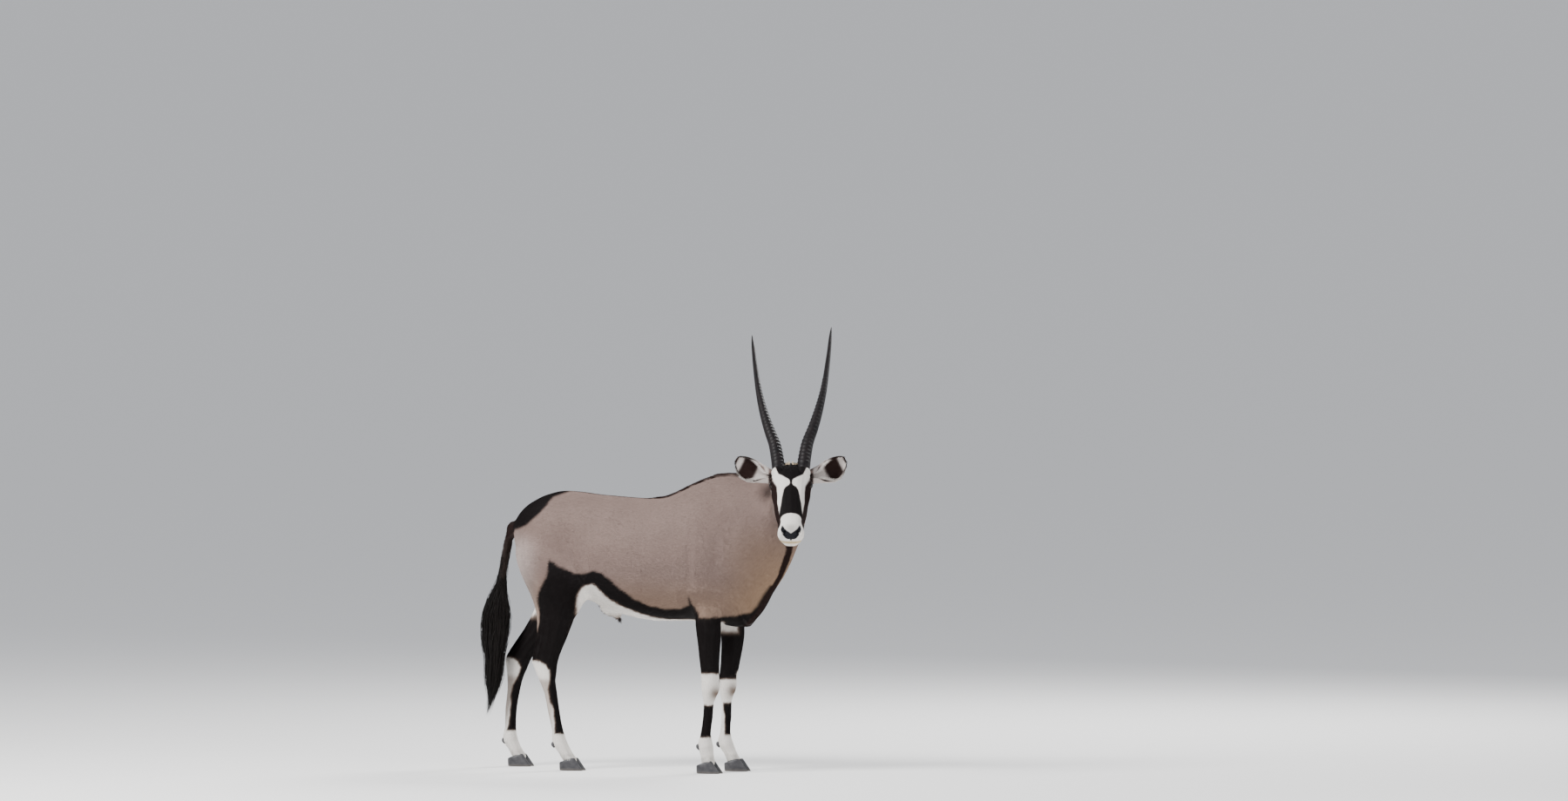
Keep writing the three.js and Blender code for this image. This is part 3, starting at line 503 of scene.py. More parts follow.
def markings(points, normals):
    """The share of each colour of hair at each point of the hide."""
    side = np.where(points[:, 1] > 0, 1, -1)
    across = np.abs(points[:, 1])
    still = points
    points = points + ripple(points, 60)[:, None] * 2.5 + ripple(points[:, ::-1], 17)[:, None] * 1.2
    x, z = points[:, 0], points[:, 2]
    hind_lean, fore_lean = lean(z, side)
    hind_x, fore_x = x - hind_lean, x - fore_lean
    local, angle = head_parts(still + (points - still) * 0.35)
    on_head = head_share(still)
    ear = ear_share(still)
    side_view, hind_view = np.stack([x, z], 1), np.stack([hind_x, z], 1)
    behind = x < -205

    # Trunk and neck
    band_view = np.stack([x - hind_lean * fade(-x, 170, 330), z], 1)
    band = inside(band_view, FLANK_BAND, 7)
    inner_thigh = fade(-across, -114, -94) * behind * fade(z, 585, 640) * fade(-z, -880, -800)
    inner_thigh = np.maximum(inner_thigh, inside(band_view, THIGH_FRONT, 6) * fade(-across, -174, -152))
    groin = fade(-across, -110, -70) * fade(-x, 170, 230) * fade(-z, -800, -720) * (z > 560)
    band *= 1 - np.maximum(inner_thigh, groin * (x > -420))
    croup = inside(side_view, CROUP_PATCH, 8)
    brisket = inside(side_view, BRISKET_BAND, 6)
    throat, reached = along_line(points, THROAT_LINE)
    throat_width = np.interp(reached, (0, 0.25, 0.6, 0.85, 1), (38, 22, 17, 16, 17))
    throat = fade(-throat, -throat_width - 6, -throat_width + 5)
    spine, spine_reached = along_line(points, BACK_LINE)
    strength = np.interp(spine_reached, (0, 0.2, 0.42, 0.5, 0.9, 1), (1, 0.8, 0.7, 1, 1, 1))
    spine = fade(-spine, -16, -9) * strength
    dock = fade(-x, 592, 606) * (z < 1010) * (across < 48)
    trunk_black = np.maximum.reduce([band, croup, brisket, spine, dock * 0.9])
    below_band = inside(side_view, (
        (-215, 775), (-190, 756), (-150, 712), (-100, 676), (-40, 650), (30, 628), (130, 616),
        (262, 606), (262, 500), (-215, 500)), 6)
    trunk_white = np.clip(below_band + groin + inner_thigh, 0, 1) * (1 - trunk_black)
    buttock = fade(-hind_x, 395, 540) * fade(-z, -985, -850) * fade(z, 530, 590) * (1 - croup)

    # Forelegs and hind legs
    outer_side = across > 106
    knee_line = np.where(outer_side, 405, 372)
    forearm = fade(z, knee_line - 7, knee_line + 7)
    armpit = fade(z, 545, 575) * fade(-across, -104, -92)
    cannon = fade(z, 143, 152) * fade(-z, -280, -270)
    cannon *= np.clip(fade(across, 92, 100) + fade(fore_x, 271, 281), 0, 1)
    fore_black = np.clip(forearm * (1 - armpit) + cannon, 0, 1)
    rear_pale = inside(hind_view, HIND_REAR_PALE, 6)
    hind_white = np.maximum(rear_pale, fade(-z, -152, -142))
    hind_black = 1 - hind_white
    shank_inside = fade(-across, -114, -94) * fade(-z, -620, -590)
    thigh_black = np.maximum(band, shank_inside)
    high = fade(z, 455, 490)
    hind_black = blend(hind_black, thigh_black, high)
    hind_white = blend(hind_white, inner_thigh * (1 - thigh_black), high)
    on_hind = fade(-z, -640, -600) * (x < -60)
    fore_top = 612 + 18 * fade(across, 100, 118)
    on_fore = fade(fore_top - z, -6, 6) * (x > 60) * fade(across, 40, 60)
    fore_white = 1 - fore_black
    sternum = fade(-across, -62, -46) * (x < 320)
    black, white = trunk_black, trunk_white
    for share, dark, light in ((on_hind, hind_black, hind_white), (on_fore, fore_black, fore_white)):
        black, white = blend(black, dark, share), blend(white, light, share)
    chest_under = fade(-z, -625, -610) * (x > 60) * (x < 330) * sternum
    black = black * (1 - chest_under)
    white = np.maximum(white, chest_under)
    strap = brisket * fade(x, 326, 342) * fade(-across, -112, -98)
    black = np.maximum(black, strap)
    white = white * (1 - strap)
    knee_fawn = np.exp(-((fore_x - 322) / 17) ** 2 - ((z - 318) / 24) ** 2) * on_fore
    grey = inside(hind_view, ((-520, 380), (-395, 362), (-395, 150), (-520, 150)), 14) * on_hind
    white = white * (1 - np.clip(grey * 0.6 + knee_fawn, 0, 1))
    sheath_tip = np.exp(-(np.linalg.norm(still - [-148, 0, 605], axis=1) / 11) ** 2)
    black = np.maximum(black, np.maximum(sheath_tip * 0.5, knee_fawn * 0.3))
    white = white * (1 - sheath_tip)

    # Face
    top_view = np.stack([local[:, 0], np.abs(local[:, 1])], 1)
    round_view = np.stack([local[:, 0], angle], 1)
    front = fade(local[:, 2], -80, -60)
    blaze = inside(top_view, BLAZE, 2.2) * front
    crown = inside(top_view, CROWN, 2.2) * front
    stripe = inside(round_view, EYE_STRIPE, 3.5)
    jaw_line = fade(-np.abs(local[:, 1]), -20, -12) * fade(angle, 120, 150) * fade(-local[:, 0], -262, -250)
    nape = fade(-np.abs(local[:, 1]), -15, -9) * fade(-local[:, 0], -44, -34) * (local[:, 2] > -110)
    face_black = np.maximum.reduce([blaze, crown, stripe, jaw_line, nape])
    face_white = inside(round_view, WHITE_FACE, 5) * (1 - face_black)
    cheek = fade(local[:, 0], 60, 160)
    face = on_head * (1 - ear)
    black = black * (1 - on_head) + face_black * face
    white = white * (1 - on_head) + face_white * face
    pale = buttock * 0.45 * (1 - on_head) + cheek * 0.7 * face
    black = np.maximum(black, throat * (1 - face * (angle < 120)))
    white = white * (1 - black)

    # Ears
    along, cup, top_edge, edge = ear_parts(local, normals @ HEAD_AXES.T)
    tip = fade(along, 0.93, 0.97)
    ear_black = np.clip(tip + top_edge * fade(along, 0.45, 0.6) + edge * 0.8 * fade(along, 0.72, 0.82), 0, 1)
    hollow = cup * fade(along, 0.44, 0.54) * fade(-along, -0.87, -0.80) * (1 - edge)
    black = blend(black, np.maximum(ear_black, hollow), ear)
    pale = blend(pale, 0.75, ear)
    white = blend(white, 0.35 * (1 - ear_black) * (1 - hollow), ear)

    # Nose pad and lips
    pad_view = np.stack([np.abs(local[:, 1]), local[:, 2]], 1)
    pad = inside(pad_view, NOSE_PAD, 1.8) * fade(local[:, 0], 394, 402)
    nostril, _ = along_line(fold(local), NOSTRIL)
    pad = np.maximum(pad, fade(-nostril, -8.5, -6.5) * on_head)
    mouth, _ = along_line(local * [1, 0, 1], [(a, 0, b) for a, b in MOUTH_LINE])
    mouth_reach = fade(local[:, 0], 322, 334) * on_head
    lips = np.exp(-((mouth + 1) / 8) ** 2) * fade(local[:, 0], 385, 412) * on_head
    black = np.maximum(black, np.exp(-(mouth / 2.0) ** 2) * mouth_reach)
    # A soft painted shade greys the top of the muzzle just above the nose pad, where the face turns down
    # into it.
    painted_shade_above_pad = np.exp(-(local[:, 1] / 26) ** 2 - ((local[:, 2] + 22) / 18) ** 2) * fade(local[:, 0], 385, 410)
    black = np.maximum(black, painted_shade_above_pad * 0.2 * on_head)
    warm = np.clip(fade(x, 330, 560) * fade(-z, -1050, -760) + fade(-z, -820, -660) * 0.5, 0, 1)
    brown = np.clip(stripe * 0.35 * face + dock * 0.3 + spine * 0.5 * (1 - on_head) + ear * 0.5
                    + throat * 0.35 + sheath_tip + (face_black < 0.5) * mouth_reach, 0, 1)
    return {
        "black": np.clip(black, 0, 1), "white": np.clip(white, 0, 1), "pale": np.clip(pale, 0, 1),
        "brown": brown, "warm": warm, "pad": pad, "lips": np.clip(lips, 0, 1),
    }


MARKS = ("black", "white", "pale", "brown", "warm", "pad", "lips")


def write_marks(mesh, marks, repeats=1):
    for name in MARKS:
        attribute = mesh.attributes.new(name, "FLOAT", "POINT")
        attribute.data.foreach_set("value", np.repeat(marks[name], repeats).astype(np.float32))


spots = from_frame(read_points(skin.data))
marks = markings(spots, read_points(skin.data, "vector", skin.data.vertex_normals))
edge = sum(4 * marks[name] * (1 - marks[name]) for name in ("black", "white", "pad"))
keep = np.clip(0.12 + 0.6 * edge + 0.85 * head_share(spots), 0, 1)
paint_group(skin, "keep", 1 - keep)
thin = skin.modifiers.new("thin", "DECIMATE")
thin.vertex_group = "keep"
thin.vertex_group_factor = 1.0
thin.ratio = SKIN_TRIANGLES / (2 * len(skin.data.polygons))
apply_modifiers(skin)
skin.vertex_groups.clear()
triangles = bmesh.new()
triangles.from_mesh(skin.data)
bmesh.ops.triangulate(triangles, faces=triangles.faces)
triangles.to_mesh(skin.data)
triangles.free()
skin.data.shade_smooth()
spots = from_frame(read_points(skin.data))
write_marks(skin.data, markings(spots, read_points(skin.data, "vector", skin.data.vertex_normals)))
print("hide triangles", len(skin.data.polygons))


def add_node(tree, kind, inputs=(), **settings):
    made = tree.nodes.new("ShaderNode" + kind)
    for key, value in settings.items():
        setattr(made, key, value)
    for key, value in dict(inputs).items():
        if isinstance(value, bpy.types.NodeSocket):
            tree.links.new(value, made.inputs[key])
        else:
            made.inputs[key].default_value = value
    return made


def reckon(tree, operation, first, second):
    return add_node(tree, "Math", {0: first, 1: second}, operation=operation).outputs[0]


def measure(tree, vector, direction):
    """How far a vector reaches along a direction."""
    inputs = {0: vector, 1: tuple(direction)}
    return add_node(tree, "VectorMath", inputs, operation="DOT_PRODUCT").outputs["Value"]


def rescale(tree, value, low, high, first=0.0, last=1.0):
    return add_node(tree, "MapRange", {0: value, 1: low, 2: high, 3: first, 4: last}).outputs[0]


def object_place(tree):
    return add_node(tree, "TexCoord").outputs["Object"]


def noise(tree, scale, detail):
    inputs = {"Vector": object_place(tree), "Scale": scale, "Detail": detail}
    return add_node(tree, "TexNoise", inputs).outputs[0]


def roughen(tree, shader, height, strength, distance):
    bump = add_node(tree, "Bump", {"Height": height, "Strength": strength, "Distance": distance})
    tree.links.new(bump.outputs[0], shader.inputs["Normal"])


def blend_colours(tree, share, first, second):
    made = add_node(tree, "Mix", {0: share}, data_type="RGBA")
    for key, value in ((6, first), (7, second)):
        if isinstance(value, bpy.types.NodeSocket):
            tree.links.new(value, made.inputs[key])
        else:
            made.inputs[key].default_value = (*value, 1)
    return made.outputs[2]


# One shader group mixes the hair colours, for the skin and for the hairs over it.
hair_colours = bpy.data.node_groups.new("gemsbok_hair_colours", "ShaderNodeTree")
for name in (*MARKS, "tone"):
    hair_colours.interface.new_socket(name, in_out="INPUT", socket_type="NodeSocketFloat")
hair_colours.interface.new_socket("colour", in_out="OUTPUT", socket_type="NodeSocketColor")
group_in = hair_colours.nodes.new("NodeGroupInput")
group_out = hair_colours.nodes.new("NodeGroupOutput")
FAWN_COOL, FAWN_WARM = (0.185, 0.132, 0.115), (0.250, 0.165, 0.110)
colour = blend_colours(hair_colours, group_in.outputs["warm"], FAWN_COOL, FAWN_WARM)
for name, hue in (("pale", (0.55, 0.48, 0.45)), ("white", (0.76, 0.72, 0.67)),
                  ("black", (0.0048, 0.0033, 0.0033))):
    colour = blend_colours(hair_colours, group_in.outputs[name], colour, hue)
brown_share = reckon(hair_colours, "MULTIPLY", group_in.outputs["brown"], group_in.outputs["black"])
colour = blend_colours(hair_colours, brown_share, colour, (0.028, 0.011, 0.008))
colour = blend_colours(hair_colours, group_in.outputs["lips"], colour, (0.60, 0.46, 0.25))
colour = blend_colours(hair_colours, group_in.outputs["pad"], colour, (0.009, 0.009, 0.012))
toned = add_node(hair_colours, "VectorMath", {0: colour}, operation="SCALE")
hair_colours.links.new(group_in.outputs["tone"], toned.inputs["Scale"])
hair_colours.links.new(toned.outputs[0], group_out.inputs["colour"])


def new_material(name, **constants):
    made = bpy.data.materials.new(name)
    made.use_nodes = True
    shader = made.node_tree.nodes["Principled BSDF"]
    for key, value in constants.items():
        shader.inputs[key.replace("_", " ")].default_value = value
    return made, made.node_tree, shader


def hair_material(name, tone, **constants):
    made, tree, shader = new_material(name, **constants)
    colours = add_node(tree, "Group", node_tree=hair_colours)
    for mark in MARKS:
        source = add_node(tree, "Attribute", attribute_name=mark)
        tree.links.new(source.outputs["Fac"], colours.inputs[mark])
    tree.links.new(tone(tree), colours.inputs["tone"])
    tree.links.new(colours.outputs[0], shader.inputs["Base Color"])
    return made, tree, shader


def skin_tone(tree):
    return rescale(tree, noise(tree, 9, 3), 0, 1, 0.72, 1.0)


hide_material, tree, shader = hair_material("hide", skin_tone, Roughness=0.75, Specular_IOR_Level=0.12)
roughen(tree, shader, noise(tree, 500, 2), 0.25, 0.0006)
skin.data.materials.clear()
skin.data.materials.append(hide_material)
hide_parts(*flesh_nodes)
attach(skin, "root")

# The eyes are wet, very dark brown balls with a level oval pupil. Thin black lids lie on each
# ball round an almond opening, and the upper one carries a row of lashes.
EYE_AIM = np.array([0.24, 0.92, 0.3])
PUPIL = (8.5, 5.0)


def finish_piece(name, shape, material, replaced=(), smooth=True):
    bmesh.ops.recalc_face_normals(shape, faces=shape.faces)
    mesh = bpy.data.meshes.new(name)
    shape.to_mesh(mesh)
    shape.free()
    if smooth:
        mesh.shade_smooth()
    made = new_object(name, mesh)
    mesh.materials.append(material)
    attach(made, "root")
    if replaced:
        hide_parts(*replaced)
    return made


LID_HALF, LID_UPPER, LID_LOWER = 16.0, 9.5, 8.0
LID_SECTION = (  # distance past the opening's edge, in degrees, and radius
    (2, 20.1), (0.3, 20.4), (0, 21.0), (1, 21.6), (3.5, 21.9), (8, 21.7), (None, 21.3), (None, 20.1),
)
LID_END = 70.0
LASHES = 34
lid_material, _, _ = new_material("lid", Roughness=0.4, Base_Color=(0.006, 0.004, 0.0035, 1))
lash_roots, lash_normals, lash_ways = [], [], []
for side, side_name in ((1, "left"), (-1, "right")):
    aim = EYE_AIM * [1, side, 1] / np.linalg.norm(EYE_AIM)
    middle = EYE_PLACE * [1, side, 1]
    ahead = unit(np.array([1.0, 0, 0]) - aim * aim[0])
    up = np.cross(aim, ahead) * -side
    eye_material, tree, shader = new_material(
        "eye_" + side_name, Roughness=0.04, IOR=1.38, Specular_IOR_Level=0.35)
    pole = to_frame(out_of_head(middle + aim * EYE_RADIUS))
    offset = add_node(tree, "VectorMath", {0: object_place(tree), 1: tuple(pole)}, operation="SUBTRACT")
    parts = []
    for direction, size in ((ahead, PUPIL[0]), (up, PUPIL[1])):
        along = measure(tree, offset.outputs[0], direction @ HEAD_AXES * 1000 / size)
        parts.append(reckon(tree, "POWER", along, 2.0))
    away = reckon(tree, "ADD", *parts)
    iris, rim = rescale(tree, away, 0.8, 1.3), rescale(tree, away, 3.6, 5.5)
    eye_colour = blend_colours(tree, iris, (0.001, 0.001, 0.001), (0.014, 0.0065, 0.0035))
    eye_colour = blend_colours(tree, rim, eye_colour, (0.006, 0.003, 0.002))
    tree.links.new(eye_colour, shader.inputs["Base Color"])
    ball = bmesh.new()
    bmesh.ops.create_uvsphere(ball, u_segments=48, v_segments=32, radius=EYE_RADIUS / 1000)
    centre = Vector(to_frame(out_of_head(middle)))
    bmesh.ops.translate(ball, verts=ball.verts, vec=centre)
    finish_piece("eye_" + side_name, ball, eye_material, ["eye_" + side_name])

    def on_lid(turn, past, radius):
        """A point round the eye: past the opening's edge by so many degrees, or at its end."""
        high = LID_UPPER if math.sin(turn) > 0 else LID_LOWER
        flat = np.array([LID_HALF * math.cos(turn), high * math.sin(turn) * abs(math.sin(turn)) ** 0.25])
        flat = flat @ [[math.cos(0.12), math.sin(0.12)], [-math.sin(0.12), math.cos(0.12)]]
        edge = math.degrees(math.asin(min(0.99, np.linalg.norm(flat) / EYE_RADIUS)))
        polar = math.radians(LID_END if past is None else edge + past)
        way = (ahead * flat[0] + up * flat[1]) / np.linalg.norm(flat)
        return middle + radius * (aim * math.cos(polar) + way * math.sin(polar))

    lids = bmesh.new()
    bmesh.ops.create_grid(lids, x_segments=64, y_segments=len(LID_SECTION), size=1)
    for corner in lids.verts:
        turn = (corner.co.x + 1) * math.pi
        past, radius = LID_SECTION[round((corner.co.y + 1) / 2 * len(LID_SECTION)) % len(LID_SECTION)]
        corner.co = to_frame(out_of_head(on_lid(turn, past, radius)))
    bmesh.ops.remove_doubles(lids, verts=lids.verts, dist=1e-6)
    finish_piece("lids_" + side_name, lids, lid_material)
    for turn in np.radians(np.linspace(18, 162, LASHES)):
        root = on_lid(turn, 1.5, 21.4)
        outward_way = unit(on_lid(turn, 14, 21.4) - root)
        lash_roots.append(root)
        lash_normals.append(outward_way)
        lash_ways.append(aim * 0.75 + outward_way * 0.55 - ahead * 0.35)

# Horn and hoof are the same stuff. The horns bow gently, spread apart and carry 25 rings on
# their lower part; the tips are plain and pointed.
HORN_LENGTH = {1: 805, -1: 760}
HORN_RADIUS = 27.0
HORN_ROOT = (94.0, 49.0, -30.0)
HORN_SINK = 14.0
HORN_TAPER = ((0, 1), (0.12, 0.93), (0.3, 0.76), (0.55, 0.48), (0.8, 0.31), (0.95, 0.17), (1, 0.04))
HORN_SPREAD = ((-0.02, -0.002), (0, 0), (0.1, 0.01), (0.19, 0.024), (0.275, 0.048), (0.5, 0.096),
               (0.75, 0.124), (1, 0.142))
RINGS = 25
RING_SPAN = (26.0, 0.62)


def smooth_track(keys, at):
    """A smooth curve through (place, value) keys."""
    x, y = np.array(keys, float).T
    slope = np.gradient(y, x)
    i = np.clip(np.searchsorted(x, at) - 1, 0, len(x) - 2)
    width = x[i + 1] - x[i]
    t = np.clip((at - x[i]) / width, 0, 1)
    return ((1 + 2 * t) * (1 - t) ** 2 * y[i] + t * (1 - t) ** 2 * width * slope[i]
            + t * t * (3 - 2 * t) * y[i + 1] + t * t * (t - 1) * width * slope[i + 1])


def sweep(shape, rings):
    """A closed solid through rings of points, extruded from one ring to the next."""
    circle = bmesh.ops.create_circle(shape, cap_ends=True, segments=len(rings[0]), radius=1)
    cap = circle["verts"][0].link_faces[0]
    for corner, spot in zip(cap.verts, rings[0]):
        corner.co = spot
    for ring in rings[1:]:
        cap = bmesh.ops.extrude_discrete_faces(shape, faces=[cap])["faces"][0]
        for corner, spot in zip(cap.verts, ring):
            corner.co = spot
    bmesh.ops.holes_fill(shape, edges=[edge for edge in shape.edges if edge.is_boundary], sides=0)


horn_material, tree, shader = new_material("horn", Roughness=0.5, Specular_IOR_Level=0.16)
place = object_place(tree)
stretched = [measure(tree, place, axis * scale) for axis, scale in zip(HEAD_AXES, (14, 420, 420))]
stretched = add_node(tree, "CombineXYZ", dict(enumerate(stretched))).outputs[0]
streaks = add_node(tree, "TexNoise", {"Vector": stretched, "Scale": 1, "Detail": 3}).outputs[0]
shade = rescale(tree, reckon(tree, "MULTIPLY", streaks, noise(tree, 30, 4)), 0.12, 0.42)
horn_colour = blend_colours(tree, shade, (0.0035, 0.0028, 0.0034), (0.013, 0.0095, 0.0095))
tree.links.new(horn_colour, shader.inputs["Base Color"])
roughen(tree, shader, streaks, 0.5, 0.0008)

for side, side_name in ((1, "left"), (-1, "right")):
    length = HORN_LENGTH[side]
    share = np.concatenate([np.linspace(-HORN_SINK / length, 0.66, 230), np.linspace(0.664, 1, 50)])
    bow = length * (0.105 * share - 0.088 * share * np.abs(share))
    apart = smooth_track(HORN_SPREAD, share)
    track = np.stack([
        HORN_ROOT[0] - length * share * 0.985,
        side * (HORN_ROOT[1] + length * apart),
        HORN_ROOT[2] + bow,
    ], 1)
    ahead = unit(np.gradient(track, axis=0))
    across = unit(np.array([0, 1.0, 0]) - ahead * ahead[:, 1:2])
    out = np.cross(ahead, across)
    from_root = share * length
    radius = 0.8 * fade(share, 0, 0.2) + HORN_RADIUS * smooth_track(HORN_TAPER, np.clip(share, 0, 1))
    radius -= 3.5 * fade(-from_root, -14, -5)
    ring_place = (from_root - RING_SPAN[0]) / (RING_SPAN[1] * length - RING_SPAN[0]) * RINGS
    ringed = (ring_place > 0) & (ring_place < RINGS)
    phase = ring_place % 1
    saw = np.where(phase < 0.78, phase / 0.78, (1 - phase) / 0.22) ** 1.6
    saw = np.where(ringed, saw, 0) * 3.4 * (1 - 0.6 * np.clip(ring_place / RINGS, 0, 1))
    rings = []
    for i in range(len(share)):
        turns = np.linspace(0, 2 * math.pi, 36, endpoint=False)
        inward, forward = -side * np.cos(turns), np.sin(turns) * np.sign(out[i] @ [0, 0, 1])
        uneven = 0.12 + 0.88 * np.clip(0.45 + 0.55 * inward + 0.35 * forward, 0, 1)
        reach = radius[i] - 0.4 + saw[i] * uneven
        ring = track[i] + np.outer(reach * 0.97 * np.cos(turns), across[i])
        ring += np.outer(reach * np.sin(turns), out[i])
        rings.append(to_frame(out_of_head(ring)))
    horn = bmesh.new()
    sweep(horn, rings)
    finish_piece("horn_" + side_name, horn, horn_material, ["horn_" + side_name])

# Each foot ends in two claws with a flat sole, and has two small dewclaws behind the joint.
HOOF_LENGTH, HOOF_WIDTH, HOOF_FRONT, HOOF_BACK = 98.0, 34.0, 48.0, 33.0
CLAW_OFFSET, LEG_SPREAD = 18.0, 102.0
CLAW_LEVELS = (  # height, length, width, how far back the toe lies
    (0, 0.93, 0.88, 0.02), (0.02, 0.975, 0.95, 0.0), (0.07, 1, 1, 0.01), (0.14, 0.985, 1.01, 0.05),
    (0.3, 0.93, 1.01, 0.20), (0.5, 0.86, 1.0, 0.38), (0.7, 0.79, 0.98, 0.56), (0.85, 0.74, 0.95, 0.69),
    (0.94, 0.70, 0.90, 0.77), (1.0, 0.66, 0.80, 0.83), (1.06, 0.56, 0.62, 0.92),
)
FEET = (
    ("hindleg", -1, "right", -261, (-388, 102)), ("hindleg", 1, "left", -572, (-690, 102)),
    ("foreleg", -1, "right", 336, (243, 106)), ("foreleg", 1, "left", 374, (247, 106)),
)
hoof_material, tree, shader = new_material("hoof", Roughness=0.5)
place = object_place(tree)
bands = {"Vector": place, "Scale": 42, "Distortion": 5.0, "Detail": 2}
bands = add_node(tree, "TexWave", bands, bands_direction="Z").outputs[0]
shade = rescale(tree, noise(tree, 55, 5), 0.32, 0.68)
hoof_colour = blend_colours(tree, shade, (0.016, 0.016, 0.019), (0.048, 0.046, 0.049))
height = add_node(tree, "SeparateXYZ", {0: place}).outputs[2]
dust = rescale(tree, height, 0.012, 0.0, 0.0, 0.5)
hoof_colour = blend_colours(tree, dust, hoof_colour, (0.15, 0.13, 0.11))
tree.links.new(hoof_colour, shader.inputs["Base Color"])
roughen(tree, shader, bands, 0.16, 0.0007)


def bent(value, power):
    return np.sign(value) * np.abs(value) ** (2 / power)


for leg, side, side_name, toe, fetlock in FEET:
    for half in (1, -1):
        digit = "outer" if half * side > 0 else "inner"
        middle = side * LEG_SPREAD + half * CLAW_OFFSET
        rings = []
        for height, long, wide, back in CLAW_LEVELS:
            turns = np.linspace(0, 2 * math.pi, 40, endpoint=False)
            span = HOOF_LENGTH * long
            front = toe - back * HOOF_FRONT * 0.82
            x = front - span / 2 + span / 2 * bent(np.cos(turns), 2.05)
            outer = np.where(np.sin(turns) > 0, 1, 0.72)
            y = HOOF_WIDTH / 2 * wide * outer * (1 - 0.34 * np.cos(turns)) * np.sin(turns)
            share = (front - x) / span
            heel = HOOF_FRONT + (HOOF_BACK - HOOF_FRONT) * share ** 1.5
            rings.append(to_frame(np.stack([x, middle + half * y, height * heel], 1)))
        claw = bmesh.new()
        sweep(claw, rings)
        node = f"hoof_{leg}_{side_name}_{digit}"
        finish_piece(node, claw, hoof_material, [node])
        dewclaw = bmesh.new()
        bmesh.ops.create_uvsphere(dewclaw, u_segments=20, v_segments=14, radius=0.001)
        bmesh.ops.scale(dewclaw, verts=dewclaw.verts, vec=(9, 7.5, 13))
        for corner in dewclaw.verts:
            low = max(0.0, -corner.co.z / 0.013)
            corner.co.x = corner.co.x * (1 - 0.55 * low) - 0.002 * low
            corner.co.y *= 1 - 0.45 * low
        bmesh.ops.rotate(dewclaw, verts=dewclaw.verts, matrix=Matrix.Rotation(math.radians(-24), 3, "Y"))
        spot = to_frame((fetlock[0], side * LEG_SPREAD + half * 15, fetlock[1]))
        bmesh.ops.translate(dewclaw, verts=dewclaw.verts, vec=Vector(spot))
        node = f"dewclaw_{leg}_{side_name}_{digit}"
        finish_piece(node, dewclaw, hoof_material, [node])

# The short coat lies flat over the skin. Each hair lock is a thin keeled blade, rooted in
# the skin and lying along it: back along the body, down the legs, up the face.
rng = np.random.default_rng(11)
LOCKS_PER_PIECE = 47000
ROOT_DEPTH, KEEL_PLACE = 0.4, 0.42
COAT_PATCH = 0.003
MUZZLE_TIP = (436, 0, -50)


def flatten(ways, normals):
    return unit(ways - normals * (ways * normals).sum(1)[:, None])


def coat_lie(points, normals):
    """The direction that the hair lies in at each point."""
    local = in_head(points)
    on_head = head_share(points)
    ear = fade(np.abs(local[:, 1]), 84, 96) * on_head * fade(-local[:, 0], -130, -110)
    on_neck = fade(points[:, 0], 380, 520)
    on_leg = fade(-points[:, 2], -700, -600)
    body = np.array([-0.93, 0, -0.36])
    neck = np.array([-0.75, 0.10, -0.65])
    leg = np.array([-0.12, 0, -1.0])
    face = -face_line + 0.10 * head_up
    from_pad = unit(local - MUZZLE_TIP) @ HEAD_AXES
    ear_way = np.sign(local[:, 1])[:, None] * head_left + [0, 0, 0.1]
    lie = body
    for way, share in ((neck, on_neck), (leg, on_leg), (face, on_head),
                       (from_pad, fade(local[:, 0], 335, 400) * on_head), (ear_way, ear)):
        lie = blend(lie, way, share[:, None])
    lie = lie + ripple(points, 260)[:, None] * np.cross(normals, lie) * 0.12
    return flatten(lie, normals)


def bake_place(points):
    """Where a root lies on an unwrap of the hide: each region is rolled out on its own."""
    local, angle = head_parts(points)
    on_head = (local[:, 0] > -20) & (local[:, 2] > -230) & (points[:, 2] > 900)
    turn = np.arctan2(points[:, 1], points[:, 2] - 900) / (2 * math.pi) + 0.5
    u, v = 0.02 + 0.60 * (points[:, 0] + 700) / 1450, 0.02 + 0.40 * turn
    head_turn = np.arctan2(local[:, 1], local[:, 2] + 80) / (2 * math.pi) + 0.5
    u = np.where(on_head, 0.66 + 0.32 * np.clip((local[:, 0] + 60) / 520, 0, 1), u)
    v = np.where(on_head, 0.02 + 0.40 * head_turn, v)
    side = np.sign(points[:, 1])
    hind_lean, fore_lean = lean(points[:, 2], side)
    hind = points[:, 0] < -60
    middle_x = np.where(hind, -400 + hind_lean, 288 + fore_lean)
    leg_turn = np.arctan2(points[:, 1] - side * 104, points[:, 0] - middle_x) / (2 * math.pi) + 0.5
    number = np.where(hind, 0, 2) + (side > 0)
    legs = points[:, 2] < 640
    u = np.where(legs, 0.02 + 0.24 * number + 0.22 * leg_turn, u)
    v = np.where(legs, 0.46 + 0.50 * points[:, 2] / 640, v)
    return np.stack([u, v], 1)


def above_skin(points, normals, heights):
    """The points, with those that sank into the skin set back above it."""
    points = points.copy()
    for i, (point, normal) in enumerate(zip(points.tolist(), normals.tolist())):
        start = Vector(point) + Vector(normal) * 4
        hit, facing, _, away = skin_tree.ray_cast(start, -Vector(normal), 10)
        if hit is not None and facing.dot(Vector(normal)) > 0 and 4 - away < heights[i] * 0.8:
            points[i] = hit + Vector(normal) * float(heights[i])
    return points


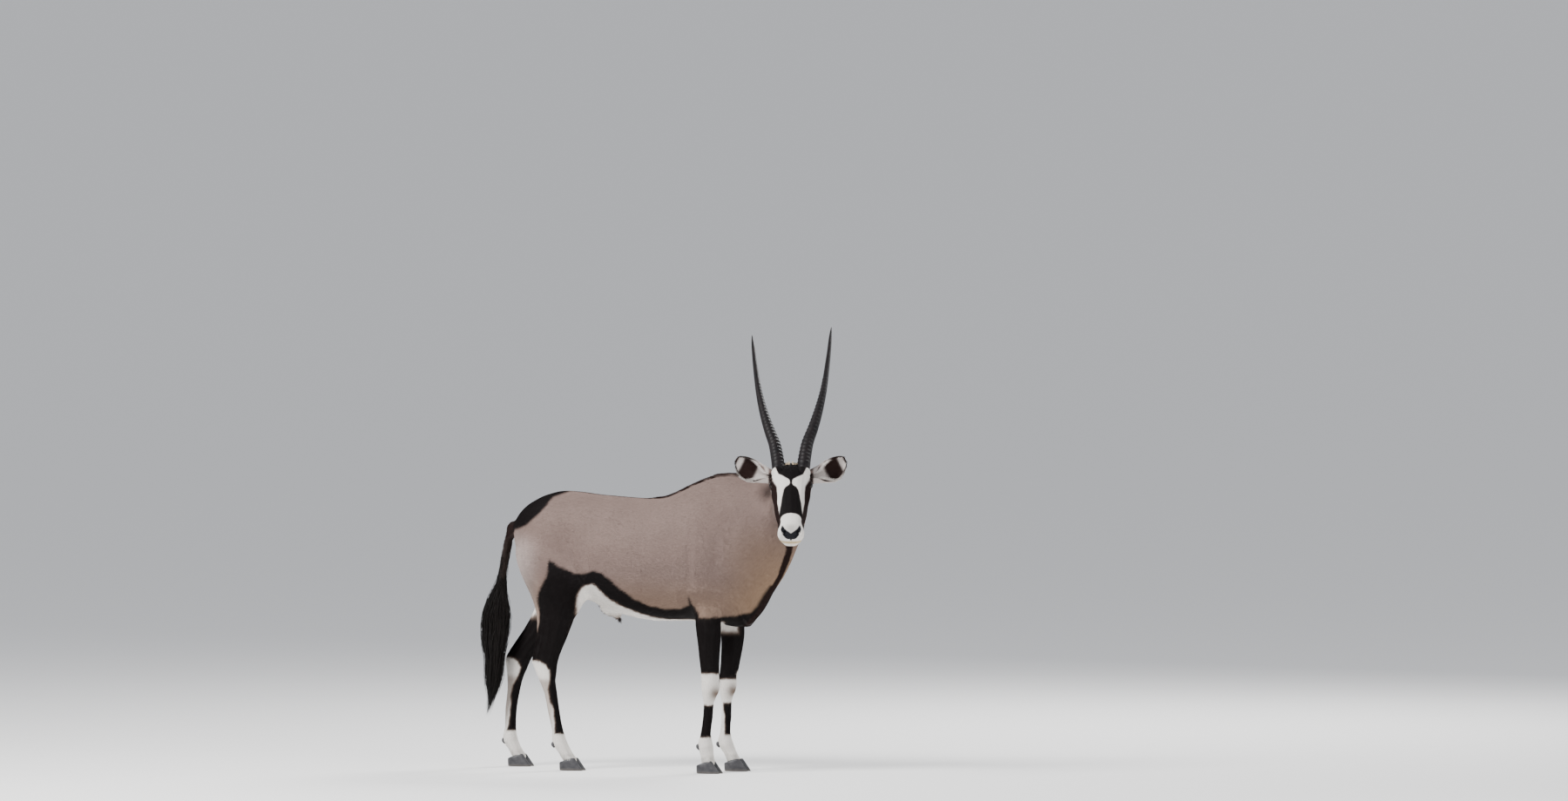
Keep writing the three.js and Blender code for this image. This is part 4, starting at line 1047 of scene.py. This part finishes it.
def solid_locks(name, roots, normals, lies, lengths, widths, heights, tones, marks, raised=False):
    """Blades of four faces: a root edge as wide as the lock, a keel and a point."""
    count = len(roots)
    across = np.cross(normals, lies) * widths[:, None] / 2
    left, right = roots + across - normals * ROOT_DEPTH, roots - across - normals * ROOT_DEPTH
    keel = roots + lies * lengths[:, None] * KEEL_PLACE + normals * heights[:, None]
    tip = roots + lies * lengths[:, None] + normals * heights[:, None] * 0.55
    if raised:
        keel, tip = above_skin(keel, normals, heights * 0.8), above_skin(tip, normals, heights * 0.55)
    bulge = ((keel - roots - (tip - roots) * KEEL_PLACE) * normals).sum(1)
    keel += normals * np.maximum(0, heights * 0.3 - bulge)[:, None]
    corners = np.stack([left, right, keel, tip], 1).reshape(-1, 3)
    pattern = np.array([[0, 1, 2], [0, 2, 3], [2, 1, 3], [1, 0, 3]])
    triangles = (np.arange(count)[:, None, None] * 4 + pattern).reshape(-1, 3)
    mesh = bpy.data.meshes.new(name)
    mesh.vertices.add(len(corners))
    mesh.vertices.foreach_set("co", to_frame(corners).astype(np.float32).ravel())
    mesh.loops.add(len(triangles) * 3)
    mesh.loops.foreach_set("vertex_index", triangles.ravel().astype(np.int32))
    mesh.polygons.add(len(triangles))
    mesh.polygons.foreach_set("loop_start", np.arange(0, len(triangles) * 3, 3, dtype=np.int32))
    mesh.update(calc_edges=True)
    write_marks(mesh, marks, 4)
    tone = mesh.attributes.new("tone", "FLOAT", "POINT")
    tone.data.foreach_set("value", np.repeat(tones, 4).astype(np.float32))
    patch = np.array([[-0.5, 0], [0.5, 0], [0, 0.4], [0, 1]]) * COAT_PATCH
    places = (bake_place(roots)[:, None] + patch).reshape(-1, 2)
    layer = mesh.uv_layers.new(name="OFBake")
    layer.uv.foreach_set("vector", places[triangles.ravel()].astype(np.float32).ravel())
    mesh.shade_smooth()
    facing = np.repeat(normals, 4, axis=0)
    mesh.normals_split_custom_set_from_vertices(facing.tolist())
    mesh.materials.append(coat_material)
    made = new_object(name, mesh)
    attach(made, "root")


def lock_tone(tree):
    return add_node(tree, "Attribute", attribute_name="tone").outputs["Fac"]


coat_material, _, _ = hair_material("coat", lock_tone, Roughness=0.62, Specular_IOR_Level=0.07)

mesh = skin.data
corner_index = np.empty(len(mesh.polygons) * 3, np.int32)
mesh.polygons.foreach_get("vertices", corner_index)
corner_index = corner_index.reshape(-1, 3)
skin_spots = from_frame(read_points(mesh))
skin_normals = read_points(mesh, "vector", mesh.vertex_normals)
skin_tree = BVHTree.FromPolygons(skin_spots.tolist(), corner_index.tolist())
a, b, c = (skin_spots[corner_index[:, i]] for i in range(3))
areas = np.linalg.norm(np.cross(b - a, c - a), axis=1) / 2
middles = (a + b + c) / 3


def mane_share(points):
    away, reached = along_line(points, BACK_LINE)
    return fade(-away, -14, -8) * fade(reached, 0.44, 0.54)


def by_region(values, leg, head):
    """A value for the body, moved towards those for the legs and the head by their shares."""
    return values[0] + (values[1] - values[0]) * leg + (values[2] - values[0]) * head


middle_head = head_share(middles)
density = by_region((0.085, 0.22, 0.26), fade(-middles[:, 2], -640, -560), middle_head)
density += 0.35 * mane_share(middles) * (1 - middle_head)
wanted = areas * density
total = int(wanted.sum())
chosen = np.searchsorted(np.cumsum(wanted), (np.arange(total) + rng.random(total)) * wanted.sum() / total)
chosen = np.clip(chosen, 0, len(areas) - 1)
mix = rng.random((total, 2))
mix = np.where(mix.sum(1, keepdims=True) > 1, 1 - mix, mix)
weights = np.stack([1 - mix.sum(1), mix[:, 0], mix[:, 1]], 1)
roots, normals = ((source[corner_index[chosen]] * weights[:, :, None]).sum(1)
                  for source in (skin_spots, skin_normals))
normals = unit(normals)
local = in_head(roots)
bare = inside(np.stack([np.abs(local[:, 1]), local[:, 2]], 1), NOSE_PAD, 1) * (local[:, 0] > 400) > 0.5
nostril_gap, _ = along_line(fold(local), NOSTRIL)
bare |= nostril_gap < 7
bare |= np.linalg.norm(fold(local) - EYE_PLACE, axis=1) < 23
mouth_gap, _ = along_line(local * [1, 0, 1], [(x, 0, z) for x, z in MOUTH_LINE])
bare |= (mouth_gap < 1.6) & (local[:, 0] > 330) & (head_share(roots) > 0.5)
roots, normals = roots[~bare], normals[~bare]
lies = coat_lie(roots, normals)
lies = flatten(lies + rng.normal(0, 0.06, lies.shape), normals)
root_local = in_head(roots)
root_head, root_ear = head_share(roots), ear_share(roots)
root_muzzle = fade(root_local[:, 0], 300, 380) * root_head
root_collar = fade(-from_horn(root_local), -40, -33) * fade(-root_local[:, 0], -108, -96) * root_head
root_mane = mane_share(roots) * (1 - root_head)
root_coronet = fade(-roots[:, 2], -84, -66)
root_leg = fade(-roots[:, 2], -680, -560)
lengths = by_region((17, 10, 6.5), root_leg, root_head) * (0.75 + 0.5 * rng.random(len(roots)))
widths = by_region((2.5, 1.5, 1.3), root_leg, root_head) * (0.8 + 0.4 * rng.random(len(roots)))
heights = by_region((1.5, 0.65, 0.6), root_leg, root_head) * (0.5 + 0.9 * rng.random(len(roots)))
lengths *= (1 - 0.35 * root_muzzle) * (1 - 0.55 * root_collar) * (1 - 0.35 * root_ear)
lengths *= 1 + 0.35 * root_mane + 0.6 * root_coronet
widths *= 1 - 0.3 * root_collar - 0.2 * root_mane
heights *= (1 - 0.5 * root_collar) * (1 - 0.3 * root_ear)
lies += normals * (0.42 * root_mane + 0.22 * root_coronet)[:, None]
tones = 0.90 + 0.16 * rng.random(len(roots)) + 0.05 * ripple(roots, 160)
coat_marks = markings(roots + lies * (lengths * 0.4)[:, None], normals)
print("coat locks", len(roots))
REGIONS = (
    ("coat_head", root_head > 0.5), ("coat_legs", (roots[:, 2] < 620)),
    ("coat_neck", roots[:, 0] > 400), ("coat_shoulder", roots[:, 0] > 120),
    ("coat_barrel", roots[:, 0] > -220), ("coat_hindquarters", roots[:, 0] > -2000),
)
taken = np.zeros(len(roots), bool)
for region, belongs in REGIONS:
    members = np.flatnonzero(belongs & ~taken)
    taken[members] = True
    parts = max(1, math.ceil(len(members) / LOCKS_PER_PIECE))
    for number, some in enumerate(np.array_split(members, parts)):
        some_marks = {key: coat_marks[key][some] for key in MARKS}
        solid_locks(f"{region}_{number + 1}", roots[some], normals[some], lies[some], lengths[some],
                    widths[some], heights[some], tones[some], some_marks,
                    raised=region == "coat_head")

# Longer hairs: the fringe along the edges of the ears, the lashes over the eyes, a pale tuft
# between the horns and the brown pencil of hair at the tip of the sheath.


def long_locks(name, roots, normals, lies, lengths, widths, slot, **shares):
    count = len(roots)
    zero = np.zeros(count)
    marks = {key: zero for key in MARKS}
    marks.update({key: zero + share for key, share in shares.items()})
    solid_locks(name, roots, normals, unit(lies), lengths, widths, widths * 0.35,
                0.9 + 0.2 * rng.random(count), marks)


fringe, lash_count, tuft, pencil = 1500, len(lash_roots), 150, 130
for side, side_name in ((1, "left"), (-1, "right")):
    upper = rng.random(fringe) < 0.5
    along = 0.22 + 0.76 * rng.random(fringe)
    half, deep, opening, drop = cup_at(along)
    turn = np.radians(np.where(upper, -1, 1) * (opening - 1 - 8 * rng.random(fringe)))
    ring = np.outer((half - 2) * np.sin(turn) + drop, EAR_DOWN)
    ring -= np.outer((deep - 2) * np.cos(turn), EAR_FRONT)
    spots = EAR_ROOT + np.outer(along * EAR_LENGTH, EAR_AIM) + ring
    outer_way = np.outer(np.sin(turn), EAR_DOWN) - np.outer(np.cos(turn), EAR_FRONT)
    inward = np.outer(-np.sin(turn), EAR_DOWN) * 0.8 + EAR_FRONT * 0.5 + EAR_AIM * 0.9
    inward += rng.normal(0, 0.18, inward.shape)
    mirror = np.array([1, side, 1])
    dark = np.where(upper, fade(along, 0.55, 0.7), fade(along, 0.86, 0.92))
    long_locks(
        "coat_ear_fringe_" + side_name, out_of_head(spots * mirror), outer_way * mirror @ HEAD_AXES,
        inward * mirror @ HEAD_AXES, (9 + 9 * rng.random(fringe)) * (1 - 0.5 * fade(along, 0.8, 1)),
        0.6 + 0.4 * rng.random(fringe), "hide_ear",
        black=dark, white=(1 - dark) * 0.6, brown=0.4, pale=0.75,
    )
long_locks("coat_lashes", out_of_head(lash_roots), np.array(lash_normals) @ HEAD_AXES,
           np.array(lash_ways) @ HEAD_AXES, 8 + 4 * rng.random(lash_count), np.full(lash_count, 0.7),
           "hide_dark", black=1)
spots = np.stack([30 + 28 * rng.random(tuft), rng.normal(0, 10, tuft), np.full(tuft, 10.0)], 1)
spots = np.array([skin_tree.find_nearest(spot)[0] for spot in out_of_head(spots).tolist()])
ways = -face_line + 0.5 * head_up + rng.normal(0, 0.35, (tuft, 3))
long_locks("coat_poll_tuft", spots, np.tile(head_up, (tuft, 1)), ways, 6 + 9 * rng.random(tuft),
           np.full(tuft, 1.0), "hide_fawn", pale=0.5, lips=0.5)
spots = np.array([-150, 0, 611]) + rng.normal(0, 1, (pencil, 3)) * [4, 3, 4]
around = unit(rng.normal(0, 1, (pencil, 3)) * [1, 1, 0.2])
ways = np.array([0.45, 0, -1.0]) + rng.normal(0, 0.16, (pencil, 3))
long_locks("coat_sheath_pencil", spots, around, ways, 9 + 10 * rng.random(pencil), np.full(pencil, 1.3),
           "hide_fawn", black=0.55, brown=1)

# The tail's long black hair hangs from the lower half of the dock in many thin locks. They
# part a little, fill out in the middle and end at different heights in a ragged point.
TAIL_LINE = ((-600, 0, 1000), (-628, 0, 930), (-650, 0, 840), (-663, 0, 762), (-680, 0, 640),
             (-690, 0, 520), (-706, 0, 400), (-724, 0, 206))
TAIL_LOCKS = 2600
tail_places, _, tail_heights = np.array(TAIL_LINE, float)[::-1].T


def hanging_locks(name, tracks, widths, across, thickness, material):
    """Long locks with a three-sided section along tracks, closed at the root and tip."""
    count, steps = tracks.shape[:2]
    ahead = unit(np.gradient(tracks, axis=1))
    out = unit(np.cross(ahead, across))
    wide = np.cross(out, ahead)
    half = widths[..., None] / 2
    corners = np.stack([tracks + wide * half, tracks + out * half * thickness, tracks - wide * half], 2)
    corners = corners.reshape(-1, 3)
    quads = np.array([[i, (i + 1) % 3, (i + 1) % 3 + 3, i + 3] for i in range(3)])
    quads = (np.arange(steps - 1)[:, None, None] * 3 + quads).reshape(-1, 4)
    first = np.array([[2, 1, 0]])
    last = first[:, ::-1] + (steps - 1) * 3
    base = (np.arange(count) * steps * 3)[:, None, None]
    quads = (base + quads).reshape(-1, 4)
    ends = (base + np.concatenate([first, last])).reshape(-1, 3)
    mesh = bpy.data.meshes.new(name)
    mesh.from_pydata(to_frame(corners).tolist(), [], quads.tolist() + ends.tolist())
    mesh.update()
    mesh.shade_smooth()
    mesh.materials.append(material)
    made = new_object(name, mesh)
    layer = mesh.uv_layers.new(name="OFBake")
    index = np.empty(len(mesh.loops), np.int32)
    mesh.loops.foreach_get("vertex_index", index)
    lock_number = index // (steps * 3)
    row, column = lock_number // 40, lock_number % 40
    step_number = (index % (steps * 3)) // 3
    places = np.stack([
        0.02 + 0.024 * column + COAT_PATCH * (index % 3) / 3,
        0.02 + 0.9 * row / (count // 40 + 1) + COAT_PATCH * step_number / steps,
    ], 1)
    layer.uv.foreach_set("vector", places.astype(np.float32).ravel())
    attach(made, "root")
    return made


tail_material, tree, shader = new_material("tail_hair", Roughness=0.45, Specular_IOR_Level=0.14)
tail_colour = blend_colours(tree, noise(tree, 120, 2), (0.003, 0.0022, 0.0022), (0.007, 0.005, 0.004))
tree.links.new(tail_colour, shader.inputs["Base Color"])

count = TAIL_LOCKS
start = 868 - 262 * rng.random(count) ** 0.8
start = np.where(rng.random(count) < 0.04, 960 - 90 * rng.random(count), start)
turn = rng.random(count) * 2 * math.pi
length = 130 + 320 * rng.random(count)
lowest = np.maximum(start - length, 206 + 90 * rng.random(count) ** 2)
along = np.linspace(0, 1, 8)
heights_along = start[:, None] + (lowest - start)[:, None] * along
middle = np.interp(heights_along, tail_heights, tail_places) - 5 * fade(-heights_along, -780, -680)
middle += np.interp(heights_along, (230, 300, 420, 509), (2, 15, 13, 0))
SPREAD = (  # height, half width of the tuft
    (190, 1), (240, 4), (256, 7), (284, 16), (312, 27), (341, 34), (369, 38), (425, 37), (481, 43),
    (509, 52), (565, 56), (621, 58), (649, 50), (677, 41), (705, 32), (734, 21), (762, 14), (790, 10),
)
spread = np.interp(heights_along, *zip(*SPREAD))
reach = spread * (0.35 + 0.63 * rng.random(count) ** 0.5)[:, None]
reach *= 0.55 + 0.45 * fade(along, 0, 0.35)
sway = (2 + 6 * rng.random((count, 1)) ** 3 * 3) * np.sin(along * 5 + rng.random(count)[:, None] * 6)
tracks = np.stack([
    middle + reach * np.cos(turn)[:, None] + sway * 0.5,
    reach * np.sin(turn)[:, None] * 0.8 + sway * 0.6,
    heights_along,
], 2)
tangent = np.stack([-np.sin(turn), np.cos(turn), 0 * turn], 1)[:, None, :]
swell = (0.5 + 0.5 * np.sin(np.pi * (0.15 + 0.6 * along))) * (1 - 0.93 * along ** 2.5)
tail_widths = 4.6 * (0.6 + 0.6 * rng.random(count))[:, None] * swell
tail = hanging_locks("tail_tuft_locks", tracks, tail_widths, tangent, 0.6, tail_material)
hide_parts("tail_tuft")

# The stage is a plain pale floor under an even sky. A wide soft light stands above and in
# front, with a weaker one to the side and one behind.
floor_shape = bmesh.new()
bmesh.ops.create_circle(floor_shape, cap_ends=True, segments=128, radius=300)
floor = new_object("floor", bpy.data.meshes.new("floor"))
floor_shape.to_mesh(floor.data)
floor_shape.free()
floor_material, _, _ = new_material("floor", Roughness=0.9, Base_Color=(0.88, 0.87, 0.85, 1))
floor.data.materials.append(floor_material)
world = bpy.data.worlds.new("sky")
bpy.context.scene.world = world
world.use_nodes = True
sky = world.node_tree.nodes["Background"].inputs
sky["Color"].default_value = (0.90, 0.93, 1.0, 1)
sky["Strength"].default_value = 0.68


def soft_light(name, place, size, power):
    lamp = bpy.data.lights.new(name, "AREA")
    lamp.size = size
    lamp.energy = power
    made = new_object(name, lamp)
    made.location = place
    made.rotation_euler = (Vector((0, 0, 0.8)) - Vector(place)).to_track_quat("-Z", "Y").to_euler()


soft_light("key", (-2.5, -4.5, 5.5), 2.5, 800)
soft_light("fill", (5.0, -3.0, 2.5), 4.0, 130)
soft_light("back", (1.0, 5.0, 4.5), 2.5, 420)
